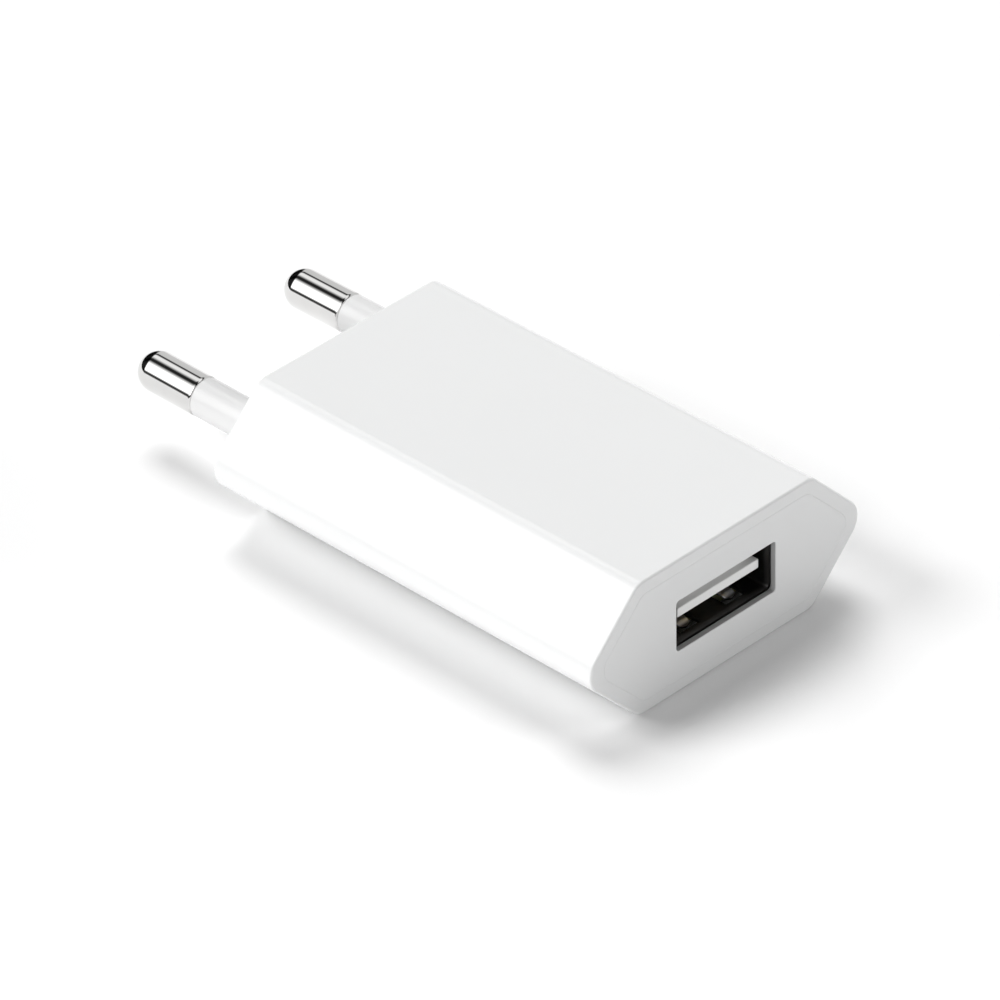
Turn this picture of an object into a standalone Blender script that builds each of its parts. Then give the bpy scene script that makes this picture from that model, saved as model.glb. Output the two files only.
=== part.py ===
"""Slim USB wall charger with two round mains pins, built as an assembly of separate pieces.

Frame, in millimetres until the meshes are written in metres: X across the charger, the USB port
faces -Y, the mains pins point to +Y, and the charger lies on its flat bottom at Z = 0. The origin
is at the middle of the bottom of the whole charger, pins included.
"""

from math import atan2, cos, hypot, pi, radians, sin, tan

import bmesh
import bpy
from mathutils import Matrix, Vector

MM = 0.001
GAP = 0.3                      # air between pieces that touch on the real charger

# Casing: a long six-sided tube, closed at the pin end
BODY_LENGTH = 47.3
BODY_HEIGHT = 14.2
FLAT_WIDTH = 22.5              # top and bottom faces, sharp corner to sharp corner
SIDE_REACH = 7.0               # how far the side edge stands out beyond the flat faces
SIDE_RADIUS = 2.4
FLAT_RADIUS = 1.8
RIM_WALL = 1.4                 # wall beside the front cover
WALL = 1.8                     # wall behind the front cover
REAR_WALL = 2.0
REAR_ROUND = 0.35
RIM_ROUND = 0.25

# Mains pins
PIN_LENGTH = 17.2
PIN_RADIUS = 2.0
PIN_CORE_RADIUS = 1.4
PIN_TAIL = 7.0                 # how far a pin reaches in behind the rear face
PIN_FLANGE_RADIUS = 2.6
SLEEVE_LENGTH = 9.3
SLEEVE_RADIUS = 1.95
SLEEVE_BORE = PIN_CORE_RADIUS + GAP
BASE_SPACING = 19.0
TIP_SPACING = 18.8
BOSS_RADIUS = 3.6
BOSS_DEPTH = 3.0
RAIL_X = 9.6                   # board rails, either side of the middle

FRONT = -(BODY_LENGTH + PIN_LENGTH) / 2
REAR = FRONT + BODY_LENGTH
CAVITY_END = REAR - REAR_WALL
MIDDLE = BODY_HEIGHT / 2
PIN_LEAN = atan2((BASE_SPACING - TIP_SPACING) / 2, PIN_LENGTH)

# Front cover
COVER_THICKNESS = 1.6
COVER_GAP = 0.15
PORT_WIDTH = 12.8
PORT_HEIGHT = 5.4
PORT_LIP = 0.6                 # cover thickness right round the port
SPIGOT_DEPTH = 2.0
SPIGOT_WALL = 1.0

# USB-A receptacle
SHELL_INSIDE_WIDTH = 12.5
SHELL_INSIDE_HEIGHT = 5.12
SHELL_SHEET = 0.3
SHELL_LENGTH = 13.4
SHELL_MOUTH = FRONT + PORT_LIP + 0.25
SHELL_REAR = SHELL_MOUTH + SHELL_LENGTH
TONGUE_WIDTH = 11.1
TONGUE_THICKNESS = 1.84
TONGUE_LENGTH = 8.9
TONGUE_FRONT = FRONT + 1.0
TONGUE_TOP = MIDDLE + SHELL_INSIDE_HEIGHT / 2 - 0.8
TONGUE_UNDERSIDE = TONGUE_TOP - TONGUE_THICKNESS
BLOCK_FRONT = TONGUE_FRONT + TONGUE_LENGTH
BLOCK_REAR = SHELL_REAR - 0.2
SPRING_SPACING = 5.9           # between the two spring fingers of the shell's floor
SPRING_CREST = 1.75            # from the mouth to a finger's crest
FLOOR_SPRING_RISE = 0.45
ROOF_SPRING_DROP = 0.4

# USB contacts: four blades in grooves on the tongue's underside
CONTACT_PLACES = (-3.5, -1.0, 1.0, 3.5)
CONTACT_WIDTH = 1.0
CONTACT_SHEET = 0.25
GROOVE_WIDTH = 1.6
GROOVE_DEPTH = 1.1
HINGE_Y = BLOCK_FRONT + 0.55
HINGE_Z = TONGUE_UNDERSIDE + 0.5
CREST_DROP = 0.4               # how far a blade's crest stands below the tongue
CREST_Y = TONGUE_FRONT + 2.6
CREST_RADIUS = 1.3

# Circuit board
BOARD_WIDTH = 22.8
BOARD_FRONT = FRONT + 3.95
BOARD_REAR = FRONT + 40.15
BOARD_THICKNESS = 1.0
BOARD_TOP = MIDDLE - SHELL_INSIDE_HEIGHT / 2 - SHELL_SHEET - GAP
BOARD_BOTTOM = BOARD_TOP - BOARD_THICKNESS
ON_BOARD = BOARD_TOP + GAP
UNDER_BOARD = BOARD_BOTTOM - GAP
LEAD_END = BOARD_BOTTOM - 0.15
LEAD_WIDTH = 0.5
LEAD_HOLE_RADIUS = 0.65
SHELL_LEG_Y = SHELL_MOUTH + 8.9

# Electrolytic cans lying along the board
OUTPUT_CAN_RADIUS = 2.9
OUTPUT_CAN_LENGTH = 8.2
OUTPUT_CAN_X = 9.9
OUTPUT_CAN_Y = FRONT + 4.15
INPUT_CAN_RADIUS = 3.15
INPUT_CAN_LENGTH = 11.0
INPUT_CAN_X = 3.45
INPUT_CAN_Y = FRONT + 26.55
CAN_LEAD_PITCH = 1.6
CAN_LEAD_REACH = 1.0           # from a can's rubber end to its leads' drop to the board

# Transformer
TRANSFORMER_Y = FRONT + 20.25
TRANSFORMER_Z = 8.4
CORE_WIDTH = 10.2
CORE_HALF_LENGTH = 3.85
CORE_DEPTH = 4.0
CORE_LEG = 1.3
BOBBIN_HEIGHT = 7.2
BOBBIN_FOOT_Y = 3.9            # rows of pins, from the transformer's middle
BOBBIN_FOOT_X = 3.9            # half the width of a foot rail
BOBBIN_WALL = 0.4
BOBBIN_FLANGE = 0.5
BOBBIN_HALF_LENGTH = CORE_HALF_LENGTH - CORE_LEG - 0.1
TRANSFORMER_PIN_PITCH = 2.5

# Parts in the strips of board beside the transformer and the cans
SIDE_PART_X = 9.2
RESISTOR_Y = FRONT + 30.15
RESISTOR_PITCH = 2.4
RESISTOR_HEIGHT = 6.0
SAFETY_Y = FRONT + 21.15
SAFETY_PITCH = 4.0
OPTO_Y = FRONT + 20.35
OPTO_LEAD_PITCH = 2.54
OPTO_ROW = 3.9                 # from the optocoupler's middle to each row of its leads
DIODE_Y = FRONT + 15.55
CHIP_Y = FRONT + 28.15
BRIDGE_Y = FRONT + 33.15

# Chip parts under the board: x, distance behind the front face, and whether they lie along Y
CHIP_RESISTORS = ((-4.0, 10.75, True), (4.0, 10.75, True), (0.0, 26.75, False),
                  (-6.0, 28.75, True), (6.0, 28.75, True), (0.0, 33.75, False))
CHIP_CAPACITORS = ((0.0, 10.75, True), (-6.2, 33.75, True), (6.2, 33.75, True), (3.2, 26.75, False))

WHITE = (0.86, 0.865, 0.865)
NICKEL = (0.72, 0.71, 0.69)
SPRING_BRONZE = (0.78, 0.60, 0.33)
BLACK_RESIN = (0.02, 0.02, 0.022)


# ---------------------------------------------------------------- helpers

def make_material(name, colour, roughness, metallic=0.0):
    material = bpy.data.materials.new(name)
    material.use_nodes = True
    shader = material.node_tree.nodes["Principled BSDF"]
    shader.inputs["Base Color"].default_value = (*colour, 1.0)
    shader.inputs["Roughness"].default_value = roughness
    shader.inputs["Metallic"].default_value = metallic
    material.diffuse_color = (*colour, 1.0)
    return material


def mesh_object(name, mesh_data, material=None, smooth=False):
    """Turn a bmesh in millimetres into an object in metres."""
    bmesh.ops.recalc_face_normals(mesh_data, faces=mesh_data.faces)
    mesh_data.transform(Matrix.Scale(MM, 4))
    mesh = bpy.data.meshes.new(name)
    mesh_data.to_mesh(mesh)
    mesh_data.free()
    if smooth:
        mesh.shade_smooth()
        mesh.set_sharp_from_angle(angle=radians(32))
    piece = bpy.data.objects.new(name, mesh)
    bpy.context.scene.collection.objects.link(piece)
    if material:
        mesh.materials.append(material)
    return piece


def place(piece, x=0.0, y=0.0, z=0.0, turn=0.0):
    piece.location = (x * MM, y * MM, z * MM)
    piece.rotation_euler = (0.0, 0.0, turn)
    bpy.context.view_layer.update()
    return piece


def combine(piece, tools, operation):
    """Cut the tools out of the piece, or weld them to it."""
    for tool in tools:
        modifier = piece.modifiers.new(tool.name, "BOOLEAN")
        modifier.operation = operation
        modifier.solver = "EXACT"
        modifier.object = tool
        with bpy.context.temp_override(object=piece, active_object=piece):
            bpy.ops.object.modifier_apply(modifier=modifier.name)
        bpy.data.objects.remove(tool)
    return piece


def rounded(corners, radii, steps, closed=True):
    """Replace each corner of a path by an arc. A radius of 0 keeps the corner."""
    points = []
    count = len(corners)
    for index, (corner, radius) in enumerate(zip(corners, radii)):
        at_end = not closed and index in (0, count - 1)
        if radius <= 0 or at_end:
            points.append(Vector(corner))
            continue
        here = Vector(corner)
        back = (Vector(corners[index - 1]) - here).normalized()
        ahead = (Vector(corners[(index + 1) % count]) - here).normalized()
        half_angle = back.angle(ahead) / 2
        centre = here + (back + ahead).normalized() * radius / sin(half_angle)
        start = here + back * radius / tan(half_angle) - centre
        sweep = pi - 2 * half_angle
        side = 1 if back.x * ahead.y - back.y * ahead.x < 0 else -1
        for step in range(steps + 1):
            angle = side * sweep * step / steps
            turned = Vector((start.x * cos(angle) - start.y * sin(angle),
                             start.x * sin(angle) + start.y * cos(angle)))
            points.append(centre + turned)
    return points


def prism(name, outline, low, high, axis, material=None, smooth=False):
    """Extrude a closed outline along an axis; the outline gives the other two coordinates."""
    order = {"X": lambda a, b, c: (c, a, b), "Y": lambda a, b, c: (a, c, b), "Z": lambda a, b, c: (a, b, c)}
    mesh_data = bmesh.new()
    corners = [mesh_data.verts.new(order[axis](point[0], point[1], low)) for point in outline]
    face = mesh_data.faces.new(corners)
    result = bmesh.ops.extrude_face_region(mesh_data, geom=[face])
    moved = [item for item in result["geom"] if isinstance(item, bmesh.types.BMVert)]
    bmesh.ops.translate(mesh_data, vec=order[axis](0, 0, high - low), verts=moved)
    return mesh_object(name, mesh_data, material, smooth)


def box(name, low, high, material=None, chamfer=0.0):
    mesh_data = bmesh.new()
    bmesh.ops.create_cube(mesh_data, size=1.0)
    size = Vector(high) - Vector(low)
    middle = (Vector(high) + Vector(low)) / 2
    bmesh.ops.scale(mesh_data, vec=size, verts=mesh_data.verts)
    bmesh.ops.translate(mesh_data, vec=middle, verts=mesh_data.verts)
    if chamfer:
        bmesh.ops.bevel(mesh_data, geom=mesh_data.edges[:], offset=chamfer, segments=1, affect="EDGES")
    return mesh_object(name, mesh_data, material)


def loft(name, rings, material=None, smooth=False):
    """Join outlines of equal point count, each (outline in XZ, y), into one closed skin."""
    mesh_data = bmesh.new()
    loops = [[mesh_data.verts.new((point[0], y, point[1])) for point in outline] for outline, y in rings]
    for first, second in zip(loops, loops[1:]):
        count = len(first)
        for index in range(count):
            after = (index + 1) % count
            mesh_data.faces.new((first[index], first[after], second[after], second[index]))
    mesh_data.faces.new(loops[0])
    mesh_data.faces.new(loops[-1])
    return mesh_object(name, mesh_data, material, smooth)


def turned(name, profile, axis, steps=24, material=None):
    """Spin a profile of (radius, height) points, which starts and ends on the axis."""
    mesh_data = bmesh.new()
    points = [mesh_data.verts.new((radius, 0, height)) for radius, height in profile]
    edges = [mesh_data.edges.new(pair) for pair in zip(points, points[1:])]
    bmesh.ops.spin(mesh_data, geom=points + edges, cent=(0, 0, 0), axis=(0, 0, 1),
                   angle=2 * pi, steps=steps, use_merge=True)
    bmesh.ops.remove_doubles(mesh_data, verts=mesh_data.verts, dist=1e-4)
    if axis == "Y":
        mesh_data.transform(Matrix.Rotation(-pi / 2, 4, "X"))
    if axis == "X":
        mesh_data.transform(Matrix.Rotation(pi / 2, 4, "Y"))
    return mesh_object(name, mesh_data, material, smooth=True)


def strip(name, path, thickness, width, centre_x, material=None, smooth=False):
    """A bent strip of sheet: its centre line lies in YZ and it is as wide as stated along X."""
    left, right = [], []
    for index, point in enumerate(path):
        before = path[max(index - 1, 0)]
        after = path[min(index + 1, len(path) - 1)]
        along = (Vector(after) - Vector(before)).normalized()
        normal = Vector((-along.y, along.x)) * thickness / 2
        left.append(Vector(point) + normal)
        right.append(Vector(point) - normal)
    outline = left + right[::-1]
    return prism(name, outline, centre_x - width / 2, centre_x + width / 2, "X", material, smooth)


def lead(x, start, y, bend=0.4, end=LEAD_END):
    """A component lead that leaves its body at (y, z) = start and drops through the board at y."""
    corners = [start, (y, start[1]), (y, end)]
    path = rounded(corners, [0, bend, 0], 3, closed=False)
    return strip("lead", path, LEAD_WIDTH, LEAD_WIDTH, x)


# ---------------------------------------------------------------- casing and cover

def body_outline(inset):
    """The casing's six-sided section, moved in from the outside by the inset."""
    slope = hypot(SIDE_REACH, MIDDLE)
    flat_turn = atan2(MIDDLE, SIDE_REACH)
    half_flat = FLAT_WIDTH / 2 - inset * tan(flat_turn / 2)
    half_full = FLAT_WIDTH / 2 + SIDE_REACH - inset * slope / MIDDLE
    top = BODY_HEIGHT - inset
    corners = [(-half_flat, inset), (half_flat, inset), (half_full, MIDDLE),
               (half_flat, top), (-half_flat, top), (-half_full, MIDDLE)]
    flat = max(FLAT_RADIUS - inset, 0.3)
    side = max(SIDE_RADIUS - inset, 0.3)
    return rounded(corners, [flat, flat, side, flat, flat, side], 6)


def casing_rings():
    """Sections from the rear face, along the outside to the rim, and back along the inside."""
    stages = []
    for step in range(4):
        angle = pi / 2 * step / 3
        stages.append((REAR_ROUND * (1 - sin(angle)), REAR - REAR_ROUND * (1 - cos(angle))))
    stages.append((0.0, FRONT + RIM_ROUND))
    stages.append((RIM_ROUND * 0.3, FRONT + RIM_ROUND * 0.3))
    stages.append((RIM_ROUND, FRONT))
    stages.append((RIM_WALL, FRONT))
    stages.append((RIM_WALL, FRONT + COVER_THICKNESS + COVER_GAP))
    stages.append((WALL, FRONT + COVER_THICKNESS + COVER_GAP))
    stages.append((WALL, CAVITY_END))
    return [(body_outline(inset), y) for inset, y in stages]


def pin_places():
    """Name, x at the rear face, and turn about Z of each mains pin."""
    return (("left", -BASE_SPACING / 2, -PIN_LEAN), ("right", BASE_SPACING / 2, PIN_LEAN))


def rod(name, radius, low, high, axis="Y", steps=24):
    return turned(name, [(0, low), (radius, low), (radius, high), (0, high)], axis, steps)


def main_casing(material):
    casing = loft("main_casing", casing_rings(), material, smooth=True)
    bosses = []
    bores = []
    for _, x, turn in pin_places():
        boss = rod("boss", BOSS_RADIUS, -REAR_WALL - BOSS_DEPTH, -REAR_WALL / 2)
        bosses.append(place(boss, x, REAR, MIDDLE, turn))
        bore = rod("bore", SLEEVE_RADIUS + 0.2, -REAR_WALL - BOSS_DEPTH - 1, 1)
        bores.append(place(bore, x, REAR, MIDDLE, turn))
    rails = []
    for side in (-1, 1):
        low = (side * RAIL_X - 0.5, FRONT + 6, WALL - 0.3)
        high = (side * RAIL_X + 0.5, BOARD_REAR, UNDER_BOARD)
        rails.append(box("rail", low, high))
    combine(casing, bosses + rails, "UNION")
    return combine(casing, bores, "DIFFERENCE")


def front_cover(material):
    """Inset end cover: a plate with the port hole, and a slotted spigot that enters the casing."""
    plate_back = FRONT + COVER_THICKNESS
    edge = RIM_WALL + COVER_GAP
    spigot = WALL + COVER_GAP
    stages = [(edge + 0.15, FRONT), (edge, FRONT + 0.15), (edge, plate_back), (spigot, plate_back),
              (spigot, plate_back + SPIGOT_DEPTH), (spigot + SPIGOT_WALL, plate_back + SPIGOT_DEPTH),
              (spigot + SPIGOT_WALL, plate_back)]
    cover = loft("front_cover", [(body_outline(inset), y) for inset, y in stages], material, smooth=True)
    half_width = PORT_WIDTH / 2
    half_height = PORT_HEIGHT / 2
    hole = box("port hole", (-half_width, FRONT - 1, MIDDLE - half_height),
               (half_width, plate_back + 1, MIDDLE + half_height))
    pocket_width = SHELL_INSIDE_WIDTH / 2 + SHELL_SHEET + 0.25
    pocket_height = SHELL_INSIDE_HEIGHT / 2 + SHELL_SHEET + 0.25
    pocket = box("shell pocket", (-pocket_width, FRONT + PORT_LIP, MIDDLE - pocket_height),
                 (pocket_width, plate_back + 1, MIDDLE + pocket_height))
    slots = [box("slot", (side * 12.6 - 0.9, plate_back + 0.3, -1),
                 (side * 12.6 + 0.9, plate_back + SPIGOT_DEPTH + 1, BODY_HEIGHT + 1)) for side in (-1, 1)]
    return combine(cover, [hole, pocket] + slots, "DIFFERENCE")


# ---------------------------------------------------------------- mains pins

def mains_pin(side, x, turn, material):
    """Turned pin: round tip, full-width end, slim core under the sleeve, flange behind the boss."""
    profile = [(PIN_RADIUS * sin(radians(angle)), PIN_LENGTH - PIN_RADIUS * (1 - cos(radians(angle))))
               for angle in range(0, 91, 15)]
    flange_front = -REAR_WALL - BOSS_DEPTH - GAP
    profile += [(PIN_RADIUS, SLEEVE_LENGTH + 0.15), (PIN_RADIUS - 0.15, SLEEVE_LENGTH),
                (PIN_CORE_RADIUS, SLEEVE_LENGTH), (PIN_CORE_RADIUS, flange_front),
                (PIN_FLANGE_RADIUS, flange_front), (PIN_FLANGE_RADIUS, flange_front - 0.7),
                (PIN_CORE_RADIUS, flange_front - 0.7), (PIN_CORE_RADIUS, -PIN_TAIL), (0, -PIN_TAIL)]
    pin = turned(f"pin_{side}", profile, "Y", 32, material)
    return place(pin, x, REAR, MIDDLE, turn)


def pin_sleeve(side, x, turn, material):
    inner_end = -REAR_WALL - BOSS_DEPTH + GAP
    sleeve = rod(f"pin_sleeve_{side}", SLEEVE_RADIUS, inner_end, SLEEVE_LENGTH - 0.15, steps=32)
    bore = rod("sleeve bore", SLEEVE_BORE, inner_end - 1, SLEEVE_LENGTH + 1, steps=32)
    combine(sleeve, [bore], "DIFFERENCE")
    sleeve.data.materials.clear()
    sleeve.data.materials.append(material)
    return place(sleeve, x, REAR, MIDDLE, turn)


def pin_spring(side, x, material):
    """Bronze leaf on the board that presses on the inner end of a mains pin."""
    upright = REAR - PIN_TAIL - GAP - 0.2
    foot = ON_BOARD + 0.2
    corners = [(upright - 3.6, foot), (upright, foot), (upright, MIDDLE + 1.6), (upright - 0.9, MIDDLE + 2.6)]
    path = rounded(corners, [0, 0.6, 0.6, 0], 3, closed=False)
    return strip(f"pin_spring_{side}", path, 0.4, 3.0, x, material, smooth=True)


# ---------------------------------------------------------------- USB receptacle

def spring_finger(x, wall, rise):
    """A finger of the shell's own sheet, bent into the opening; rise is up or down."""
    height = abs(rise)
    sign = 1 if rise > 0 else -1
    mouth = SHELL_MOUTH
    corners = [(mouth + 8.9, wall), (mouth + 7.6, wall), (mouth + SPRING_CREST, wall + rise),
               (mouth + SPRING_CREST - 0.7, wall + rise - sign * min(0.3, height))]
    path = rounded(corners, [0, 1.5, 0.5, 0], 4, closed=False)
    return strip("finger", path, SHELL_SHEET - 0.04, 1.9, x)


def usb_shell(material):
    """Folded sheet shell with spring fingers in its floor and roof, and two legs for the board."""
    half_width = SHELL_INSIDE_WIDTH / 2
    half_height = SHELL_INSIDE_HEIGHT / 2
    outer_width = half_width + SHELL_SHEET
    outer_height = half_height + SHELL_SHEET

    def section(width, height, radius):
        corners = [(-width, MIDDLE - height), (width, MIDDLE - height),
                   (width, MIDDLE + height), (-width, MIDDLE + height)]
        return rounded(corners, [radius] * 4, 3)

    outside = section(outer_width, outer_height, 0.5)
    shell = prism("usb_shell", outside, SHELL_MOUTH, SHELL_REAR, "Y", material, True)
    inside = prism("inside", section(half_width, half_height, 0.2), SHELL_MOUTH - 1, SHELL_REAR + 1, "Y")
    floor_wall = MIDDLE - half_height - SHELL_SHEET / 2
    roof_wall = MIDDLE + half_height + SHELL_SHEET / 2
    windows = [inside]
    additions = []
    for side in (-1, 1):
        x = side * SPRING_SPACING / 2
        for wall, rise in ((floor_wall, FLOOR_SPRING_RISE), (roof_wall, -ROOF_SPRING_DROP)):
            windows.append(box("window", (x - 1.25, SHELL_MOUTH + 0.8, wall - 0.5),
                               (x + 1.25, SHELL_MOUTH + 8.2, wall + 0.5)))
            additions.append(spring_finger(x, wall, rise))
        inner = side * (half_width + SHELL_SHEET * 0.1)
        outer = side * (half_width + SHELL_SHEET * 0.9)
        additions.append(box("leg", (min(inner, outer), SHELL_LEG_Y - 1.0, LEAD_END),
                             (max(inner, outer), SHELL_LEG_Y + 1.0, MIDDLE)))
    combine(shell, windows, "DIFFERENCE")
    return combine(shell, additions, "UNION")


def usb_insulator(material):
    """White tongue and rear block in one moulding, with a groove for each contact."""
    tongue = box("usb_insulator", (-TONGUE_WIDTH / 2, TONGUE_FRONT, TONGUE_UNDERSIDE),
                 (TONGUE_WIDTH / 2, BLOCK_FRONT + 0.5, TONGUE_TOP), material, chamfer=0.25)
    clearance = 0.2
    half_width = SHELL_INSIDE_WIDTH / 2 - clearance
    half_height = SHELL_INSIDE_HEIGHT / 2 - clearance
    block = box("block", (-half_width, BLOCK_FRONT, MIDDLE - half_height),
                (half_width, BLOCK_REAR, MIDDLE + half_height))
    combine(tongue, [block], "UNION")
    grooves = [box("groove", (x - GROOVE_WIDTH / 2, TONGUE_FRONT + 0.7, TONGUE_UNDERSIDE - 1),
                   (x + GROOVE_WIDTH / 2, BLOCK_FRONT + 0.2, TONGUE_UNDERSIDE + GROOVE_DEPTH))
               for x in CONTACT_PLACES]
    channels = [box("channel", (x - GROOVE_WIDTH / 2, BLOCK_FRONT - 0.5, TONGUE_UNDERSIDE - 0.1),
                    (x + GROOVE_WIDTH / 2, BLOCK_REAR + 1, TONGUE_UNDERSIDE + GROOVE_DEPTH - 0.05))
                for x in CONTACT_PLACES]
    return combine(tongue, grooves + channels, "DIFFERENCE")


def contact_blade(number, x, material):
    """Sprung front part of a USB contact, with its origin at the root that it flexes about."""
    centre_low = TONGUE_UNDERSIDE - CREST_DROP + CONTACT_SHEET / 2
    corners = [(HINGE_Y + 0.25, HINGE_Z), (HINGE_Y - 1.2, HINGE_Z - 0.02), (CREST_Y, centre_low - 0.12),
               (TONGUE_FRONT + 1.15, TONGUE_UNDERSIDE + 0.25)]
    path = rounded(corners, [0, 2.0, CREST_RADIUS, 0], 5, closed=False)
    path = [(point[0] - HINGE_Y, point[1] - HINGE_Z) for point in path]
    name = f"usb_contact_blade_{number}"
    blade = strip(name, path, CONTACT_SHEET, CONTACT_WIDTH, 0.0, material, smooth=True)
    return place(blade, x, HINGE_Y, HINGE_Z)


def contact_terminal(number, x, material):
    """Fixed rear part of a USB contact: through the block, then down into the board."""
    corners = [(HINGE_Y + 0.55, HINGE_Z), (SHELL_REAR + 0.6, HINGE_Z), (SHELL_REAR + 0.6, LEAD_END)]
    path = rounded(corners, [0, 0.6, 0], 4, closed=False)
    return strip(f"usb_contact_terminal_{number}", path, CONTACT_SHEET, 0.8, x, material, smooth=True)


# ---------------------------------------------------------------- circuit board

def lead_places():
    """Where each through-hole lead passes the board, as (x, y)."""
    places = [(x, SHELL_REAR + 0.6) for x in CONTACT_PLACES]
    for side in (-1, 1):
        for pitch in (-CAN_LEAD_PITCH / 2, CAN_LEAD_PITCH / 2):
            places.append((side * OUTPUT_CAN_X + pitch, OUTPUT_CAN_Y + OUTPUT_CAN_LENGTH + CAN_LEAD_REACH))
            places.append((side * INPUT_CAN_X + pitch, INPUT_CAN_Y + INPUT_CAN_LENGTH + CAN_LEAD_REACH))
    places += transformer_pin_places()
    places += [(SIDE_PART_X, RESISTOR_Y), (SIDE_PART_X, RESISTOR_Y + RESISTOR_PITCH)]
    places += [(SIDE_PART_X, SAFETY_Y - SAFETY_PITCH / 2), (SIDE_PART_X, SAFETY_Y + SAFETY_PITCH / 2)]
    places += optocoupler_lead_places()
    return places


def circuit_board(material):
    board = box("circuit_board", (-BOARD_WIDTH / 2, BOARD_FRONT, BOARD_BOTTOM),
                (BOARD_WIDTH / 2, BOARD_REAR, BOARD_TOP), material)
    drills = []
    for x, y in lead_places():
        drill = rod("drill", LEAD_HOLE_RADIUS, BOARD_BOTTOM - 1, BOARD_TOP + 1, "Z", 12)
        drills.append(place(drill, x, y))
    for side in (-1, 1):
        x = side * (SHELL_INSIDE_WIDTH + SHELL_SHEET) / 2
        drills.append(box("leg slot", (x - 0.45, SHELL_LEG_Y - 1.3, BOARD_BOTTOM - 1),
                          (x + 0.45, SHELL_LEG_Y + 1.3, BOARD_TOP + 1)))
    return combine(board, drills, "DIFFERENCE")


# ---------------------------------------------------------------- parts on the board

def can_capacitor(name, x, y, radius, length, material):
    """Electrolytic can lying along Y, with a rolled groove at its rubber end and two bent leads."""
    groove = length - 1.5
    profile = [(0, 0), (radius - 0.35, 0), (radius, 0.35), (radius, groove - 0.4), (radius - 0.3, groove),
               (radius, groove + 0.4), (radius, length - 0.3), (radius - 0.3, length), (radius - 0.8, length),
               (radius - 0.8, length - 0.2), (0, length - 0.2)]
    can = place(turned(name, profile, "Y", 28, material), x, y, ON_BOARD + radius)
    start = (y + length - 0.8, ON_BOARD + radius)
    drop = y + length + CAN_LEAD_REACH
    leads = [lead(x + pitch, start, drop) for pitch in (-CAN_LEAD_PITCH / 2, CAN_LEAD_PITCH / 2)]
    return combine(can, leads, "UNION")


def transformer_core(half, side, material):
    """E-shaped ferrite half; side is -1 for the half towards the port."""
    joint = TRANSFORMER_Y + side * GAP / 2
    back = joint + side * CORE_HALF_LENGTH
    inner = back - side * CORE_LEG
    wide = CORE_WIDTH / 2
    outline = [(-wide, back), (wide, back), (wide, joint), (wide - CORE_LEG, joint), (wide - CORE_LEG, inner),
               (CORE_LEG, inner), (CORE_LEG, joint), (-CORE_LEG, joint), (-CORE_LEG, inner),
               (-wide + CORE_LEG, inner), (-wide + CORE_LEG, joint), (-wide, joint)]
    low = TRANSFORMER_Z - CORE_DEPTH / 2
    return prism(f"transformer_core_{half}", outline, low, low + CORE_DEPTH, "Z", material)


def transformer_pin_places():
    rows = (TRANSFORMER_Y - BOBBIN_FOOT_Y, TRANSFORMER_Y + BOBBIN_FOOT_Y)
    return [(column * TRANSFORMER_PIN_PITCH, row) for row in rows for column in (-1, 0, 1)]


def transformer_bobbin(material):
    """Former round the middle leg: a square tube, two flanges, and a foot rail under each flange."""
    tube_x = CORE_LEG + GAP
    tube_z = CORE_DEPTH / 2 + GAP
    flange_x = CORE_WIDTH / 2 - CORE_LEG - GAP
    outer_x = tube_x + BOBBIN_WALL
    outer_z = tube_z + BOBBIN_WALL
    bobbin = box("transformer_bobbin",
                 (-outer_x, TRANSFORMER_Y - BOBBIN_HALF_LENGTH, TRANSFORMER_Z - outer_z),
                 (outer_x, TRANSFORMER_Y + BOBBIN_HALF_LENGTH, TRANSFORMER_Z + outer_z), material)
    additions = []
    for side in (-1, 1):
        outer = TRANSFORMER_Y + side * BOBBIN_HALF_LENGTH
        inner = outer - side * BOBBIN_FLANGE
        additions.append(box("flange", (-flange_x, min(outer, inner), TRANSFORMER_Z - BOBBIN_HEIGHT / 2),
                             (flange_x, max(outer, inner), TRANSFORMER_Z + BOBBIN_HEIGHT / 2)))
        foot = TRANSFORMER_Y + side * BOBBIN_FOOT_Y
        reach = sorted((inner, foot + side * 0.9))
        additions.append(box("foot", (-BOBBIN_FOOT_X, reach[0], ON_BOARD),
                             (BOBBIN_FOOT_X, reach[1], TRANSFORMER_Z - CORE_DEPTH / 2 - GAP)))
    combine(bobbin, additions, "UNION")
    tunnel = box("tunnel", (-tube_x, TRANSFORMER_Y - 9, TRANSFORMER_Z - tube_z),
                 (tube_x, TRANSFORMER_Y + 9, TRANSFORMER_Z + tube_z))
    sockets = [place(rod("socket", 0.6, ON_BOARD - 1, ON_BOARD + 0.7, "Z", 12), x, y)
               for x, y in transformer_pin_places()]
    return combine(bobbin, [tunnel] + sockets, "DIFFERENCE")


def transformer_pin(number, x, y, material):
    pin = rod(f"transformer_pin_{number}", 0.3, LEAD_END, ON_BOARD + 0.5, "Z", 12)
    pin.data.materials.clear()
    pin.data.materials.append(material)
    return place(pin, x, y)


def ring_prism(name, half_x, half_z, wall, low, high, axis, centre, corner, material):
    """A closed band: a rounded rectangle with a smaller one cut from it."""
    def outline(grow):
        corners = [(centre[0] - half_x - grow, centre[1] - half_z - grow),
                   (centre[0] + half_x + grow, centre[1] - half_z - grow),
                   (centre[0] + half_x + grow, centre[1] + half_z + grow),
                   (centre[0] - half_x - grow, centre[1] + half_z + grow)]
        return rounded(corners, [corner + grow] * 4, 4)

    band = prism(name, outline(wall), low, high, axis, material, True)
    hollow = prism("hollow", outline(0), low - 1, high + 1, axis)
    return combine(band, [hollow], "DIFFERENCE")


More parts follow.
